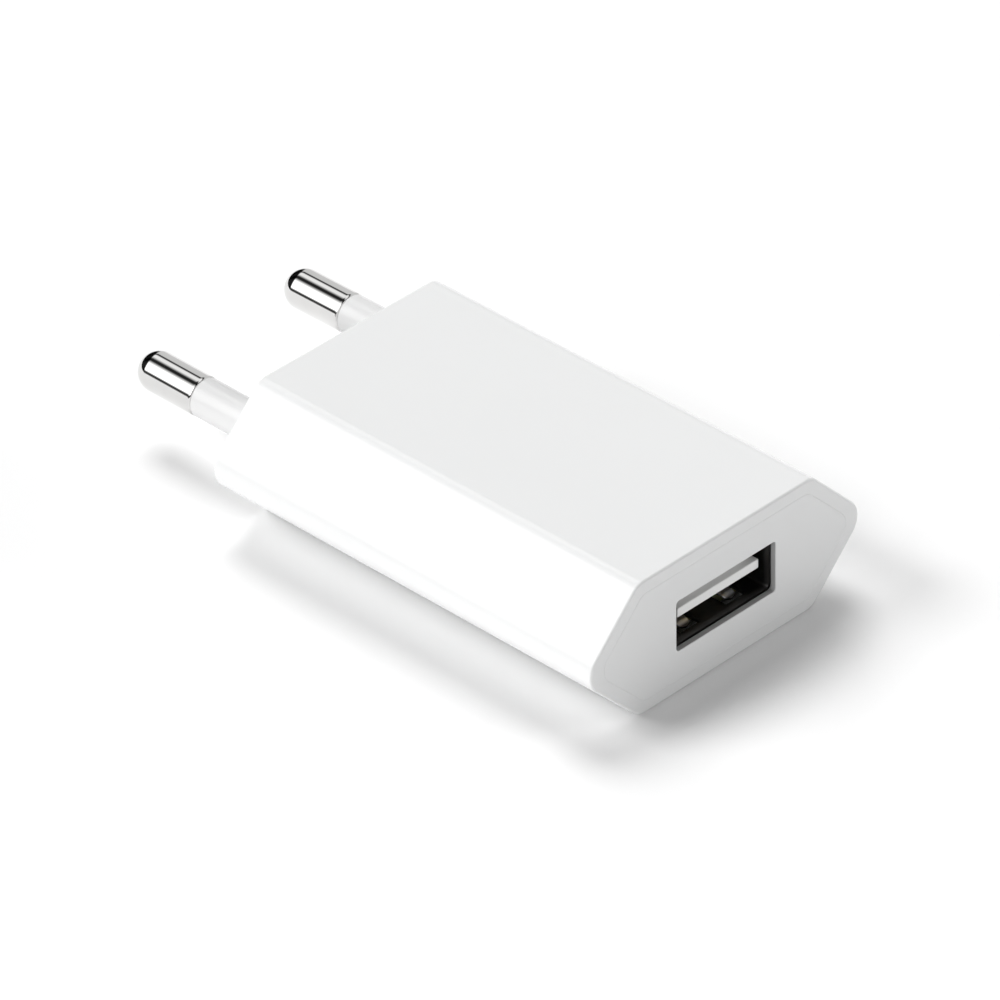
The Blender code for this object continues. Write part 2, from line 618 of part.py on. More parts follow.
def transformer_winding(material):
    half_length = BOBBIN_HALF_LENGTH - BOBBIN_FLANGE - GAP
    clear = GAP + BOBBIN_WALL + 0.2
    return ring_prism("transformer_winding", CORE_LEG + clear, CORE_DEPTH / 2 + clear, 0.85,
                      TRANSFORMER_Y - half_length, TRANSFORMER_Y + half_length, "Y", (0, TRANSFORMER_Z),
                      0.3, material)


def transformer_tape(material):
    return ring_prism("transformer_core_tape", CORE_WIDTH / 2 + 0.15, CORE_HALF_LENGTH + GAP / 2 + 0.15, 0.2,
                      TRANSFORMER_Z - 1.3, TRANSFORMER_Z + 1.3, "Z", (0, TRANSFORMER_Y), 0.3, material)


def fusible_resistor(material):
    """Resistor standing on end, its upper lead looped over and down beside it."""
    low = ON_BOARD + 0.4
    high = low + RESISTOR_HEIGHT
    profile = [(0, low), (1.1, low), (1.4, low + 0.5), (1.4, low + 1.2), (1.2, low + 1.6), (1.2, high - 1.6),
               (1.4, high - 1.2), (1.4, high - 0.5), (1.1, high), (0, high)]
    body = place(turned("fusible_resistor", profile, "Z", 20, material), SIDE_PART_X, RESISTOR_Y)
    straight = [(RESISTOR_Y, low + 0.5), (RESISTOR_Y, LEAD_END)]
    lower = strip("lower lead", straight, LEAD_WIDTH, LEAD_WIDTH, SIDE_PART_X)
    top = high + 0.7
    corners = [(RESISTOR_Y, high - 0.5), (RESISTOR_Y, top), (RESISTOR_Y + RESISTOR_PITCH, top),
               (RESISTOR_Y + RESISTOR_PITCH, LEAD_END)]
    looped = rounded(corners, [0, 0.4, 0.4, 0], 3, closed=False)
    loop = strip("upper lead", looped, LEAD_WIDTH, LEAD_WIDTH, SIDE_PART_X)
    return combine(body, [lower, loop], "UNION")


def safety_capacitor(material):
    """Disc capacitor between the mains side and the output side, on two straight leads."""
    half = 1.3
    edge = half * 0.55
    profile = [(0, -half), (2.2, -half), (3.0, -edge), (3.2, 0), (3.0, edge), (2.2, half), (0, half)]
    disc = turned("safety_capacitor", profile, "X", 24, material)
    place(disc, SIDE_PART_X, SAFETY_Y, ON_BOARD + 3.4)
    leads = []
    for side in (-1, 1):
        y = SAFETY_Y + side * SAFETY_PITCH / 2
        leads.append(strip("lead", [(y, ON_BOARD + 2.4), (y, LEAD_END)], LEAD_WIDTH, LEAD_WIDTH, SIDE_PART_X))
    return combine(disc, leads, "UNION")


def optocoupler_lead_places():
    return [(-SIDE_PART_X + column * OPTO_LEAD_PITCH / 2, OPTO_Y + row * OPTO_ROW)
            for column in (-1, 1) for row in (-1, 1)]


def optocoupler(material):
    body = box("optocoupler", (-SIDE_PART_X - 2.1, OPTO_Y - 3.1, ON_BOARD + 0.2),
               (-SIDE_PART_X + 2.1, OPTO_Y + 3.1, ON_BOARD + 3.5), material, chamfer=0.3)
    leads = []
    for x, y in optocoupler_lead_places():
        inward = OPTO_Y + (y - OPTO_Y) * 0.7
        leads.append(lead(x, (inward, ON_BOARD + 1.8), y))
    return combine(body, leads, "UNION")


def gull_wing_chip(name, x, y, width, length, height, leads, pitch, material):
    """Moulded chip with bent leads along both of its long sides, which run along Y."""
    base = ON_BOARD + 0.1
    body = box(name, (x - width / 2, y - length / 2, base), (x + width / 2, y + length / 2, base + height),
               material, chamfer=0.15)
    legs = []
    for side in (-1, 1):
        start = width / 2 - 0.4
        corners = [(start, base + height / 2), (width / 2 + 0.45, base + height / 2),
                   (width / 2 + 0.45, ON_BOARD + 0.1), (width / 2 + 1.0, ON_BOARD + 0.1)]
        path = rounded(corners, [0, 0.15, 0.15, 0], 2, closed=False)
        for index in range(leads):
            offset = (index - (leads - 1) / 2) * pitch
            leg = strip("leg", path, 0.18, 0.4, 0.0)
            turn = -pi / 2 if side > 0 else pi / 2
            legs.append(place(leg, x, y + offset, 0.0, turn))
    return combine(body, legs, "UNION")


def schottky_diode(material):
    return gull_wing_chip("schottky_diode", SIDE_PART_X, DIODE_Y, 2.4, 2.8, 2.0, 1, 0.0, material)


def chip_part(name, x, y, material, along_y):
    """Small ceramic part under the board, with end caps that stand a little proud."""
    length, width, height, cap, proud = 2.0, 1.2, 0.45, 0.4, 0.04
    top = UNDER_BOARD
    low = top - height
    outline = [(-length / 2, low), (-length / 2 + cap, low), (-length / 2 + cap, low + proud),
               (length / 2 - cap, low + proud), (length / 2 - cap, low), (length / 2, low), (length / 2, top),
               (length / 2 - cap, top), (length / 2 - cap, top - proud), (-length / 2 + cap, top - proud),
               (-length / 2 + cap, top), (-length / 2, top)]
    piece = prism(name, outline, -width / 2, width / 2, "Y", material)
    return place(piece, x, y, 0.0, pi / 2 if along_y else 0.0)


# ---------------------------------------------------------------- assembly

def build_outside():
    casing_white = make_material("glossy white casing", WHITE, 0.18)
    cover_white = make_material("satin white cover", WHITE, 0.32)
    sleeve_white = make_material("white sleeve", (0.88, 0.88, 0.875), 0.28)
    nickel = make_material("bright nickel", NICKEL, 0.08, 1.0)
    bronze = make_material("spring bronze", SPRING_BRONZE, 0.3, 1.0)
    main_casing(casing_white)
    front_cover(cover_white)
    for side, x, turn in pin_places():
        mains_pin(side, x, turn, nickel)
        pin_sleeve(side, x, turn, sleeve_white)
        pin_spring(side, x, bronze)


def build_receptacle():
    shell_steel = make_material("shell steel", (0.62, 0.61, 0.59), 0.22, 1.0)
    tongue_white = make_material("white insulator", (0.85, 0.85, 0.84), 0.4)
    gold = make_material("gold flash", (0.83, 0.62, 0.28), 0.2, 1.0)
    usb_shell(shell_steel)
    usb_insulator(tongue_white)
    for number, x in enumerate(CONTACT_PLACES, start=1):
        contact_blade(number, x, gold)
        contact_terminal(number, x, gold)


def build_board():
    laminate = make_material("green laminate", (0.03, 0.20, 0.09), 0.45)
    ferrite = make_material("grey ferrite", (0.09, 0.09, 0.10), 0.6)
    bobbin_black = make_material("bobbin resin", (0.03, 0.03, 0.035), 0.5)
    winding = make_material("yellow winding tape", (0.80, 0.62, 0.08), 0.35)
    black = make_material("black resin", BLACK_RESIN, 0.45)
    black_film = make_material("black can film", (0.03, 0.03, 0.05), 0.3)
    blue_resin = make_material("blue resin", (0.05, 0.20, 0.55), 0.4)
    beige_ceramic = make_material("beige ceramic", (0.66, 0.50, 0.34), 0.5)
    grey_green = make_material("resistor lacquer", (0.25, 0.36, 0.30), 0.4)
    tin = make_material("tinned wire", (0.7, 0.7, 0.7), 0.25, 1.0)

    circuit_board(laminate)
    for number, side in ((1, -1), (2, 1)):
        can_capacitor(f"output_capacitor_{number}", side * OUTPUT_CAN_X, OUTPUT_CAN_Y, OUTPUT_CAN_RADIUS,
                      OUTPUT_CAN_LENGTH, black_film)
        can_capacitor(f"input_capacitor_{number}", side * INPUT_CAN_X, INPUT_CAN_Y, INPUT_CAN_RADIUS,
                      INPUT_CAN_LENGTH, black_film)
    transformer_core("front", -1, ferrite)
    transformer_core("rear", 1, ferrite)
    transformer_bobbin(bobbin_black)
    transformer_winding(winding)
    transformer_tape(winding)
    for number, (x, y) in enumerate(transformer_pin_places(), start=1):
        transformer_pin(number, x, y, tin)
    fusible_resistor(grey_green)
    safety_capacitor(blue_resin)
    optocoupler(black)
    gull_wing_chip("controller_chip", -SIDE_PART_X, CHIP_Y, 2.2, 4.9, 1.5, 4, 1.27, black)
    gull_wing_chip("bridge_rectifier", -SIDE_PART_X, BRIDGE_Y, 2.4, 4.0, 2.3, 2, 2.5, black)
    schottky_diode(black)
    for number, (x, behind, along_y) in enumerate(CHIP_RESISTORS, start=1):
        chip_part(f"chip_resistor_{number}", x, FRONT + behind, black, along_y)
    for number, (x, behind, along_y) in enumerate(CHIP_CAPACITORS, start=1):
        chip_part(f"chip_capacitor_{number}", x, FRONT + behind, beige_ceramic, along_y)


for leftover in list(bpy.data.objects):
    bpy.data.objects.remove(leftover)
build_outside()
build_receptacle()
build_board()
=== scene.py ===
"""Looks of the slim USB wall charger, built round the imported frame.

Shapes are written in millimetres in the frame's own axes (X across, the port faces -Y, Z up) and
turned into metres when a mesh is made. The outside, the receptacle and the contacts are pieces
made here, finer than the frame's nodes. The parts on the board stay the frame's own nodes, with
softened edges and procedural finishes.
"""

from math import atan2, cos, hypot, pi, radians, sin, tan

import bmesh
import bpy
from mathutils import Matrix, Vector


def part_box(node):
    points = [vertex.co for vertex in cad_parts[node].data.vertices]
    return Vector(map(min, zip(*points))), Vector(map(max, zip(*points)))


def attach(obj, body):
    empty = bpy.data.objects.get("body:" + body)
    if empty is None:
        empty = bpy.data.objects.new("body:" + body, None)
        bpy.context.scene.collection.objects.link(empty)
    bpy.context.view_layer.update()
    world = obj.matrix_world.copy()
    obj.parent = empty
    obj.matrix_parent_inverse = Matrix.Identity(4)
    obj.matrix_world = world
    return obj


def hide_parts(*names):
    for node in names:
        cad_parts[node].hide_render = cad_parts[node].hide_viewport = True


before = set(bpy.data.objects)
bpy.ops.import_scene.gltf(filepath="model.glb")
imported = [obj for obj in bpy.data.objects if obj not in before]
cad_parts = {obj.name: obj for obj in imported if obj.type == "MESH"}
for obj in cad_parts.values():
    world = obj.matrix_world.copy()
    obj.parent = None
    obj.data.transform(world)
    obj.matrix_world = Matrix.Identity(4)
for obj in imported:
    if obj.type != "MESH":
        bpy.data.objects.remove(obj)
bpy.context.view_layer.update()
MM = 0.001


def node_box(node):
    """A node's low and high corners in millimetres."""
    low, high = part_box(node)
    return low / MM, high / MM


# ---------------------------------------------------------------- sizes, in millimetres

CASING_LOW, CASING_HIGH = node_box("main_casing")
FRONT = CASING_LOW.y
REAR = CASING_HIGH.y
HEIGHT = CASING_HIGH.z
MIDDLE = HEIGHT / 2

# Casing section and walls
FLAT_WIDTH = 22.5              # top and bottom faces, sharp corner to sharp corner
SIDE_REACH = 7.0               # how far the side edge stands out beyond the flat faces
SIDE_RADIUS = 2.4
FLAT_RADIUS = 1.8
RIM_WALL = 1.4
WALL = 1.8
REAR_WALL = 2.0
REAR_ROUND = 0.35
RIM_ROUND = 0.25
CORNER_STEPS = 16
EDGE_STEPS = 8

# Front cover
COVER_THICKNESS = 1.6
SEAM_GAP = 0.003               # what shows between the cover and the rim
SEAM_ROUND = 0.02
SEAM_FLAT_RADIUS = 1.5         # corner radii of the cover's edge
SEAM_SIDE_RADIUS = 1.8
PORT_WIDTH = 12.8
PORT_HEIGHT = 5.4
PORT_CORNER = 0.35
PORT_ROUND = 0.08
PORT_LIP = 0.6                 # thickness of the cover's lip in front of the shell's mouth
SPIGOT_DEPTH = 2.0
SPIGOT_WALL = 1.0
SLOT_PLACE = 12.6              # the spigot's slots, out from the middle
SLOT_HALF_WIDTH = 0.9
POCKET_ROOM = 0.15             # round the shell's flared mouth

# Mains pins
PIN_LENGTH = node_box("pin_left")[1].y - REAR
PIN_RADIUS = 2.0
PIN_SHOULDER = 0.30            # rounding where the bare metal meets the sleeve
PIN_CORE_RADIUS = 1.4
PIN_TAIL = 7.0
PIN_FLANGE_RADIUS = 2.6
SLEEVE_LENGTH = 9.15
SLEEVE_RADIUS = 1.95
BASE_SPACING = 19.0
TIP_SPACING = 18.8
PIN_LEAN = atan2((BASE_SPACING - TIP_SPACING) / 2, PIN_LENGTH)
BOSS_RADIUS = 3.6
BOSS_DEPTH = 3.0
RAIL_PLACE = 9.6               # the rails under the board, out from the middle
RAIL_START = 6.0               # and back from the front face
FIT = 0.03                     # what shows between pieces that touch
SLEEVE_EASE = 0.12             # cut-off edges of the sleeve
FLANGE_GAP = 0.05              # between a boss and the flange behind it
FLANGE_THICKNESS = 0.95
FLANGE_EDGE = 0.1
BORE_FLARE = 0.14              # how far a pin's hole opens out at the rear face
OVERSHOOT = 1.0                # how far a cutting tool reaches past what it cuts

# Receptacle
SHELL_LOW, SHELL_HIGH = node_box("usb_shell")
SHELL_MOUTH = SHELL_LOW.y
SHELL_REAR = SHELL_HIGH.y
SHELL_INSIDE_WIDTH = 12.5
SHELL_INSIDE_HEIGHT = 5.12
SHELL_SHEET = 0.3
MOUTH_FLARE = 0.12             # how far the shell's mouth opens out behind the cover's lip
FLARE_LENGTH = 0.6
SPRING_SPACING = 5.9
SPRING_WIDTH = 1.9
SPRING_CREST = 1.95            # from the mouth to a finger's crest
FLOOR_SPRING_RISE = 0.28
ROOF_SPRING_DROP = 0.4
SPRING_ROOT = 8.9              # from the mouth to where a finger leaves the sheet
SPRING_BEND = 7.6
SPRING_LIP = 0.7               # from a finger's crest to its tip, and how far the tip turns back
SPRING_LIP_TURN = 0.3
WINDOW_HALF_WIDTH = 1.25       # openings that the fingers are cut from
WINDOW_START = 0.8
WINDOW_END = 8.2
LEG_PLACE = 8.9
LEG_HALF_WIDTH = 1.0
BRIGHT_CREST_LENGTH = 1.2            # how far behind a crest the fingers keep bright steel instead of the painted shade
TONGUE_WIDTH = 10.5
TONGUE_THICKNESS = 1.84
TONGUE_LENGTH = 8.9
TONGUE_FRONT = node_box("usb_insulator")[0].y
TONGUE_STEP = 0.85             # step in its upper front edge, as high as it is deep
TONGUE_TOP = MIDDLE + SHELL_INSIDE_HEIGHT / 2 - 0.8
TONGUE_UNDERSIDE = TONGUE_TOP - TONGUE_THICKNESS
BLOCK_FRONT = TONGUE_FRONT + TONGUE_LENGTH
BLOCK_REAR = node_box("usb_insulator")[1].y
CONTACT_PLACES = (-3.5, -1.0, 1.0, 3.5)
CONTACT_WIDTH = 1.0
CONTACT_SHEET = 0.25
GROOVE_WIDTH = 1.6
GROOVE_DEPTH = 1.1
GROOVE_START = 1.0             # behind the tongue's front
BLADE_TIP = 1.15
HINGE_Y = BLOCK_FRONT + 0.55
HINGE_Z = TONGUE_UNDERSIDE + 0.5
CREST_DROP = 0.4
CREST_Y = TONGUE_FRONT + 2.6
CREST_RADIUS = 1.3

BODY = "charger"


# ---------------------------------------------------------------- camera

CAMERA_AZIMUTH = radians(-44.947)
CAMERA_ELEVATION = radians(34.704)
CAMERA_ROLL = radians(-1.24)
CAMERA_DISTANCE = 732.7
FOCAL_LENGTH = 294.04
VIEW_CENTRE = Vector((0.0, FRONT + 22.0, 7.0))
VIEW_SHIFT_RIGHT = -4.235      # how far the picture's middle lies from the view centre
VIEW_SHIFT_UP = 0.07


def add_camera():
    """Long lens above the port end, looking down on the top, the left side and the front."""
    away = Vector((sin(CAMERA_AZIMUTH) * cos(CAMERA_ELEVATION),
                   -cos(CAMERA_AZIMUTH) * cos(CAMERA_ELEVATION), sin(CAMERA_ELEVATION)))
    level = Vector((cos(CAMERA_AZIMUTH), sin(CAMERA_AZIMUTH), 0.0))
    upright = away.cross(level)
    right = cos(CAMERA_ROLL) * level + sin(CAMERA_ROLL) * upright
    up = cos(CAMERA_ROLL) * upright - sin(CAMERA_ROLL) * level
    centre = VIEW_CENTRE + VIEW_SHIFT_RIGHT * right + VIEW_SHIFT_UP * up
    place = (centre + away * CAMERA_DISTANCE) * MM
    lens = bpy.data.cameras.new("camera")
    lens.lens = FOCAL_LENGTH
    lens.sensor_width = 36.0
    lens.clip_start = 0.01
    lens.clip_end = 20.0
    camera = bpy.data.objects.new("camera", lens)
    bpy.context.scene.collection.objects.link(camera)
    turn = Matrix((right, up, away)).transposed().to_4x4()
    camera.matrix_world = Matrix.Translation(place) @ turn
    bpy.context.scene.camera = camera


# ---------------------------------------------------------------- material helpers

def new_material(name, fixed):
    """A Principled material. The fixed values stay on the shader's own sockets."""
    material = bpy.data.materials.new(name)
    material.use_nodes = True
    shader = material.node_tree.nodes["Principled BSDF"]
    for socket, value in fixed.items():
        shader.inputs[socket].default_value = value
    return material, shader


def add_node(tree, kind, inputs=None, **settings):
    """A node with its settings; an input is a value or another node's output."""
    made = tree.nodes.new(kind)
    for name, value in settings.items():
        setattr(made, name, value)
    for key, value in (inputs or {}).items():
        if isinstance(value, bpy.types.NodeSocket):
            tree.links.new(value, made.inputs[key])
        else:
            made.inputs[key].default_value = value
    return made


def place_in_mm(tree, stretch=(1.0, 1.0, 1.0)):
    """Where the surface point is on the object, in millimetres, stretched along each axis."""
    where = add_node(tree, "ShaderNodeTexCoord").outputs["Object"]
    scale = tuple(factor / MM for factor in stretch)
    return add_node(tree, "ShaderNodeMapping", {"Vector": where, "Scale": scale}).outputs["Vector"]


def noise(tree, vector, size, detail=3.0, sharpness=0.5):
    """Noise from 0 to 1 whose largest features are about the given size in millimetres."""
    made = add_node(tree, "ShaderNodeTexNoise",
                    {"Vector": vector, "Scale": 1.0 / size, "Detail": detail, "Roughness": sharpness})
    return made.outputs["Fac"]


def between(tree, factor, low, high):
    """A number that runs from low to high as the factor runs from 0.3 to 0.7, where noise mostly lies."""
    made = add_node(tree, "ShaderNodeMapRange",
                    {"Value": factor, "From Min": 0.3, "From Max": 0.7, "To Min": low, "To Max": high})
    return made.outputs["Result"]


def mixed_colour(tree, factor, first, second):
    made = add_node(tree, "ShaderNodeMix", data_type="RGBA")
    for socket, value in ((0, factor), (6, first), (7, second)):
        if isinstance(value, bpy.types.NodeSocket):
            tree.links.new(value, made.inputs[socket])
        elif socket == 0:
            made.inputs[socket].default_value = value
        else:
            made.inputs[socket].default_value = (*value, 1.0)
    return made.outputs[2]


def calculate(tree, operation, first, second=0.0, third=0.0):
    return add_node(tree, "ShaderNodeMath", {0: first, 1: second, 2: third}, operation=operation).outputs[0]


def relief(tree, shader, height, depth):
    """Bump whose full height is the depth in millimetres."""
    made = add_node(tree, "ShaderNodeBump", {"Height": height, "Strength": 1.0, "Distance": depth * MM})
    tree.links.new(made.outputs["Normal"], shader.inputs["Normal"])


def axes(tree, vector):
    parts = add_node(tree, "ShaderNodeSeparateXYZ", {"Vector": vector})
    return parts.outputs["X"], parts.outputs["Y"], parts.outputs["Z"]


def facing(tree, axis):
    """How far the surface faces along an axis, from -1 to 1."""
    normal = add_node(tree, "ShaderNodeTexCoord").outputs["Normal"]
    return axes(tree, normal)["XYZ".index(axis)]


# ---------------------------------------------------------------- finishes

# painted shade: the grey that the port's inner walls are painted with
PORT_SHADE_GREY = (0.42, 0.42, 0.42)
# painted light: the bright steel of the fingers' crests, against the sheet's dark painted shade
BRIGHT_CREST_STEEL = (0.80, 0.82, 0.86)
RING_HALF_WIDTH = 0.24         # painted rings of a resistor


def moulded_plastic(name, colour, roughness, grain_size, grain_depth, tint=0.012, subsurface=0.0, painted_shade_box=None):
    """Moulded plastic: faint flow variation in colour and gloss, and the mould's texture as relief.

    Inside the given box it is painted grey, as painted shade on the port's inner walls.
    """
    material, shader = new_material(name, {
        "IOR": 1.5, "Subsurface Weight": subsurface,
        "Subsurface Radius": (1.0, 0.9, 0.8), "Subsurface Scale": 0.4 * MM})
    tree = material.node_tree
    where = place_in_mm(tree)
    flow = noise(tree, where, 14.0, 2.0)
    lighter = tuple(min(part * (1 + tint), 1.0) for part in colour)
    darker = tuple(part * (1 - tint) for part in colour)
    paint = mixed_colour(tree, flow, darker, lighter)
    # painted shade: grey inside the given box, standing for the shade on the port's inner walls
    if painted_shade_box:
        paint = mixed_colour(tree, inside_box(tree, *painted_shade_box), paint, PORT_SHADE_GREY)
    tree.links.new(paint, shader.inputs["Base Color"])
    haze = noise(tree, where, 2.5, 4.0, 0.6)
    tree.links.new(between(tree, haze, roughness * 0.85, roughness * 1.15), shader.inputs["Roughness"])
    relief(tree, shader, noise(tree, where, grain_size, 2.0), grain_depth)
    return material


def plated_metal(name, colour, roughness, stretch, grain_size, grain_depth):
    """Plated or rolled metal with fine lines along one direction."""
    material, shader = new_material(name, {"Metallic": 1.0})
    tree = material.node_tree
    lines = noise(tree, place_in_mm(tree, stretch), grain_size, 4.0, 0.6)
    cloud = noise(tree, place_in_mm(tree), 1.6, 3.0)
    darker = tuple(part * 0.93 for part in colour)
    tree.links.new(mixed_colour(tree, cloud, darker, colour), shader.inputs["Base Color"])
    both = calculate(tree, "MULTIPLY_ADD", lines, 0.5, calculate(tree, "MULTIPLY", cloud, 0.5))
    tree.links.new(between(tree, both, roughness * 0.7, roughness * 1.4), shader.inputs["Roughness"])
    relief(tree, shader, lines, grain_depth)
    return material


def shell_steel():
    """Tin-plated steel sheet, painted dark all over as the shade inside the receptacle, with the fingers'
    crests near the mouth painted bright as the lit parts.
    """
    material, shader = new_material("shell_steel", {"Metallic": 1.0})
    tree = material.node_tree
    lines = noise(tree, place_in_mm(tree, (1.0, 0.08, 1.0)), 0.1, 4.0, 0.6)
    cloud = noise(tree, place_in_mm(tree), 1.6, 3.0)
    # painted shade: the sheet's dark colour stands for the shade inside the receptacle
    shaded_plating = mixed_colour(tree, cloud, (0.095, 0.094, 0.092), (0.125, 0.123, 0.120))
    reach = SHELL_INSIDE_HEIGHT / 2
    across = SPRING_SPACING / 2 + SPRING_WIDTH
    _, along, up = axes(tree, place_in_mm(tree))
    height = calculate(tree, "ABSOLUTE", calculate(tree, "SUBTRACT", up, MIDDLE))
    # painted light: the crests near the mouth are bright steel, and the rest stays dark as painted shade
    raised = add_node(tree, "ShaderNodeMapRange", {
        "Value": height, "From Min": reach - 0.03, "From Max": reach - 0.14}).outputs["Result"]
    ahead = calculate(tree, "LESS_THAN", along, SHELL_MOUTH + SPRING_CREST + BRIGHT_CREST_LENGTH)
    fingers = inside_box(tree, (-across, None, None), (across, None, None))
    bright_crests = calculate(tree, "MULTIPLY", calculate(tree, "MULTIPLY", raised, ahead), fingers)
    tree.links.new(mixed_colour(tree, bright_crests, shaded_plating, BRIGHT_CREST_STEEL), shader.inputs["Base Color"])
    tree.links.new(between(tree, lines, 0.28, 0.42), shader.inputs["Roughness"])
    relief(tree, shader, lines, 0.0015)
    return material


def inside_box(tree, low, high):
    """1 where the surface point lies in a box given in millimetres, and 0 outside it."""
    result = None
    for along, least, most in zip(axes(tree, place_in_mm(tree)), low, high):
        if least is None:
            continue
        above = calculate(tree, "GREATER_THAN", along, least)
        below = calculate(tree, "LESS_THAN", along, most)
        here = calculate(tree, "MULTIPLY", above, below)
        result = here if result is None else calculate(tree, "MULTIPLY", result, here)
    return result


def leaded_body(name, body_colour, body_roughness, low, high, bands=None):
    """A component's coloured body inside a box, and its tinned leads outside that box."""
    material, shader = new_material(name, {"IOR": 1.5})
    tree = material.node_tree
    where = place_in_mm(tree)
    mask = inside_box(tree, low, high)
    grain = noise(tree, where, 0.12, 3.0)
    darker = tuple(part * 0.8 for part in body_colour)
    body = mixed_colour(tree, grain, darker, body_colour)
    if bands:
        body = colour_bands(tree, body, bands)
    tin = mixed_colour(tree, noise(tree, where, 0.4, 3.0), (0.62, 0.62, 0.61), (0.76, 0.76, 0.75))
    tree.links.new(mixed_colour(tree, mask, tin, body), shader.inputs["Base Color"])
    tree.links.new(calculate(tree, "SUBTRACT", 1.0, mask), shader.inputs["Metallic"])
    body_gloss = between(tree, grain, body_roughness * 0.85, body_roughness * 1.15)
    tin_gloss = between(tree, grain, 0.2, 0.34)
    gloss = add_node(tree, "ShaderNodeMix", {0: mask, 2: tin_gloss, 3: body_gloss}).outputs[0]
    tree.links.new(gloss, shader.inputs["Roughness"])
    relief(tree, shader, grain, 0.006)
    return material


def colour_bands(tree, colour, bands):
    """Painted rings across Z: each is (height of its middle in millimetres, colour)."""
    height = axes(tree, place_in_mm(tree))[2]
    for middle, paint in bands:
        away = calculate(tree, "ABSOLUTE", calculate(tree, "SUBTRACT", height, middle))
        here = calculate(tree, "LESS_THAN", away, RING_HALF_WIDTH)
        colour = mixed_colour(tree, here, colour, paint)
    return colour


def board_laminate():
    """Green mask over copper islands, pale bare edges, and the weave showing faintly through."""
    material, shader = new_material("board_laminate", {"IOR": 1.5})
    tree = material.node_tree
    where = place_in_mm(tree)
    islands = add_node(tree, "ShaderNodeTexVoronoi", {"Vector": where, "Scale": 0.45, "Randomness": 0.85},
                       distance="CHEBYCHEV", feature="DISTANCE_TO_EDGE")
    gap = calculate(tree, "LESS_THAN", islands.outputs["Distance"], 0.07)
    weave_x = add_node(tree, "ShaderNodeTexWave", {"Vector": where, "Scale": 1.6}, bands_direction="X")
    weave_y = add_node(tree, "ShaderNodeTexWave", {"Vector": where, "Scale": 1.6}, bands_direction="Y")
    weave = calculate(tree, "MULTIPLY", weave_x.outputs["Fac"], weave_y.outputs["Fac"])
    over_copper = mixed_colour(tree, noise(tree, where, 3.0), (0.030, 0.20, 0.075), (0.040, 0.25, 0.095))
    over_weave = mixed_colour(tree, weave, (0.012, 0.085, 0.034), (0.020, 0.120, 0.050))
    mask = mixed_colour(tree, gap, over_copper, over_weave)
    flat = calculate(tree, "GREATER_THAN", calculate(tree, "ABSOLUTE", facing(tree, "Z")), 0.7)
    edge = mixed_colour(tree, noise(tree, where, 0.3), (0.42, 0.44, 0.22), (0.55, 0.56, 0.32))
    tree.links.new(mixed_colour(tree, flat, edge, mask), shader.inputs["Base Color"])
    tree.links.new(between(tree, noise(tree, where, 1.2), 0.26, 0.42), shader.inputs["Roughness"])
    step = calculate(tree, "SUBTRACT", calculate(tree, "MULTIPLY", weave, 0.2), gap)
    relief(tree, shader, step, 0.035)
    return material


def ferrite():
    material, shader = new_material("ferrite", {"IOR": 1.9})
    tree = material.node_tree
    where = place_in_mm(tree)
    speck = noise(tree, where, 0.16, 5.0, 0.7)
    grey = mixed_colour(tree, speck, (0.055, 0.055, 0.062), (0.13, 0.13, 0.14))
    tree.links.new(grey, shader.inputs["Base Color"])
    tree.links.new(between(tree, noise(tree, where, 1.5), 0.48, 0.68), shader.inputs["Roughness"])
    relief(tree, shader, speck, 0.02)
    return material


def wound_tape(name, turn_width, axis):
    """Yellow polyester tape: overlapping turns, wrinkles and the darker wire showing through."""
    material, shader = new_material(name, {"IOR": 1.55, "Coat Weight": 0.4, "Coat Roughness": 0.12})
    tree = material.node_tree
    where = place_in_mm(tree)
    along = axes(tree, where)["XYZ".index(axis)]
    turns = calculate(tree, "FRACT", calculate(tree, "DIVIDE", along, turn_width))
    wrinkle = noise(tree, where, 0.9, 4.0, 0.6)
    lit = mixed_colour(tree, wrinkle, (0.70, 0.46, 0.045), (0.86, 0.64, 0.10))
    tree.links.new(mixed_colour(tree, calculate(tree, "MULTIPLY", turns, 0.35), lit, (0.55, 0.27, 0.03)),
                   shader.inputs["Base Color"])
    tree.links.new(between(tree, wrinkle, 0.24, 0.4), shader.inputs["Roughness"])
    relief(tree, shader, calculate(tree, "MULTIPLY_ADD", wrinkle, 0.6, turns), 0.03)
    return material


def shrink_film(name, centre_x, centre_z, stripe_low, stripe_high):
    """Electrolytic can: dark film with a pale stripe, bare aluminium at its end, and tinned leads."""
    material, shader = new_material(name, {"IOR": 1.5})
    tree = material.node_tree
    x, _, z = axes(tree, place_in_mm(tree))
    side = calculate(tree, "SUBTRACT", x, centre_x)
    rise = calculate(tree, "SUBTRACT", z, centre_z)
    round_about = calculate(tree, "ARCTAN2", rise, side)
    stripe = calculate(tree, "MULTIPLY", calculate(tree, "GREATER_THAN", round_about, stripe_low),
                       calculate(tree, "LESS_THAN", round_about, stripe_high))
    cloud = noise(tree, place_in_mm(tree), 1.1, 3.0)
    film = mixed_colour(tree, cloud, (0.016, 0.017, 0.032), (0.030, 0.032, 0.055))
    film = mixed_colour(tree, stripe, film, (0.34, 0.36, 0.38))
    bare = calculate(tree, "GREATER_THAN", calculate(tree, "MULTIPLY", facing(tree, "Y"), -1.0), 0.85)
    radius = calculate(tree, "SQRT", calculate(tree, "ADD", calculate(tree, "MULTIPLY", side, side),
                                               calculate(tree, "MULTIPLY", rise, rise)))
    bare = calculate(tree, "MULTIPLY", bare, calculate(tree, "LESS_THAN", radius, 2.3))
    leads = calculate(tree, "LESS_THAN", z, node_box("circuit_board")[1].z + 0.1)
    bare = calculate(tree, "MAXIMUM", bare, leads)
    tree.links.new(mixed_colour(tree, bare, film, (0.74, 0.75, 0.76)), shader.inputs["Base Color"])
    tree.links.new(bare, shader.inputs["Metallic"])
    tree.links.new(between(tree, cloud, 0.22, 0.36), shader.inputs["Roughness"])
    relief(tree, shader, cloud, 0.03)
    return material


# ---------------------------------------------------------------- mesh helpers

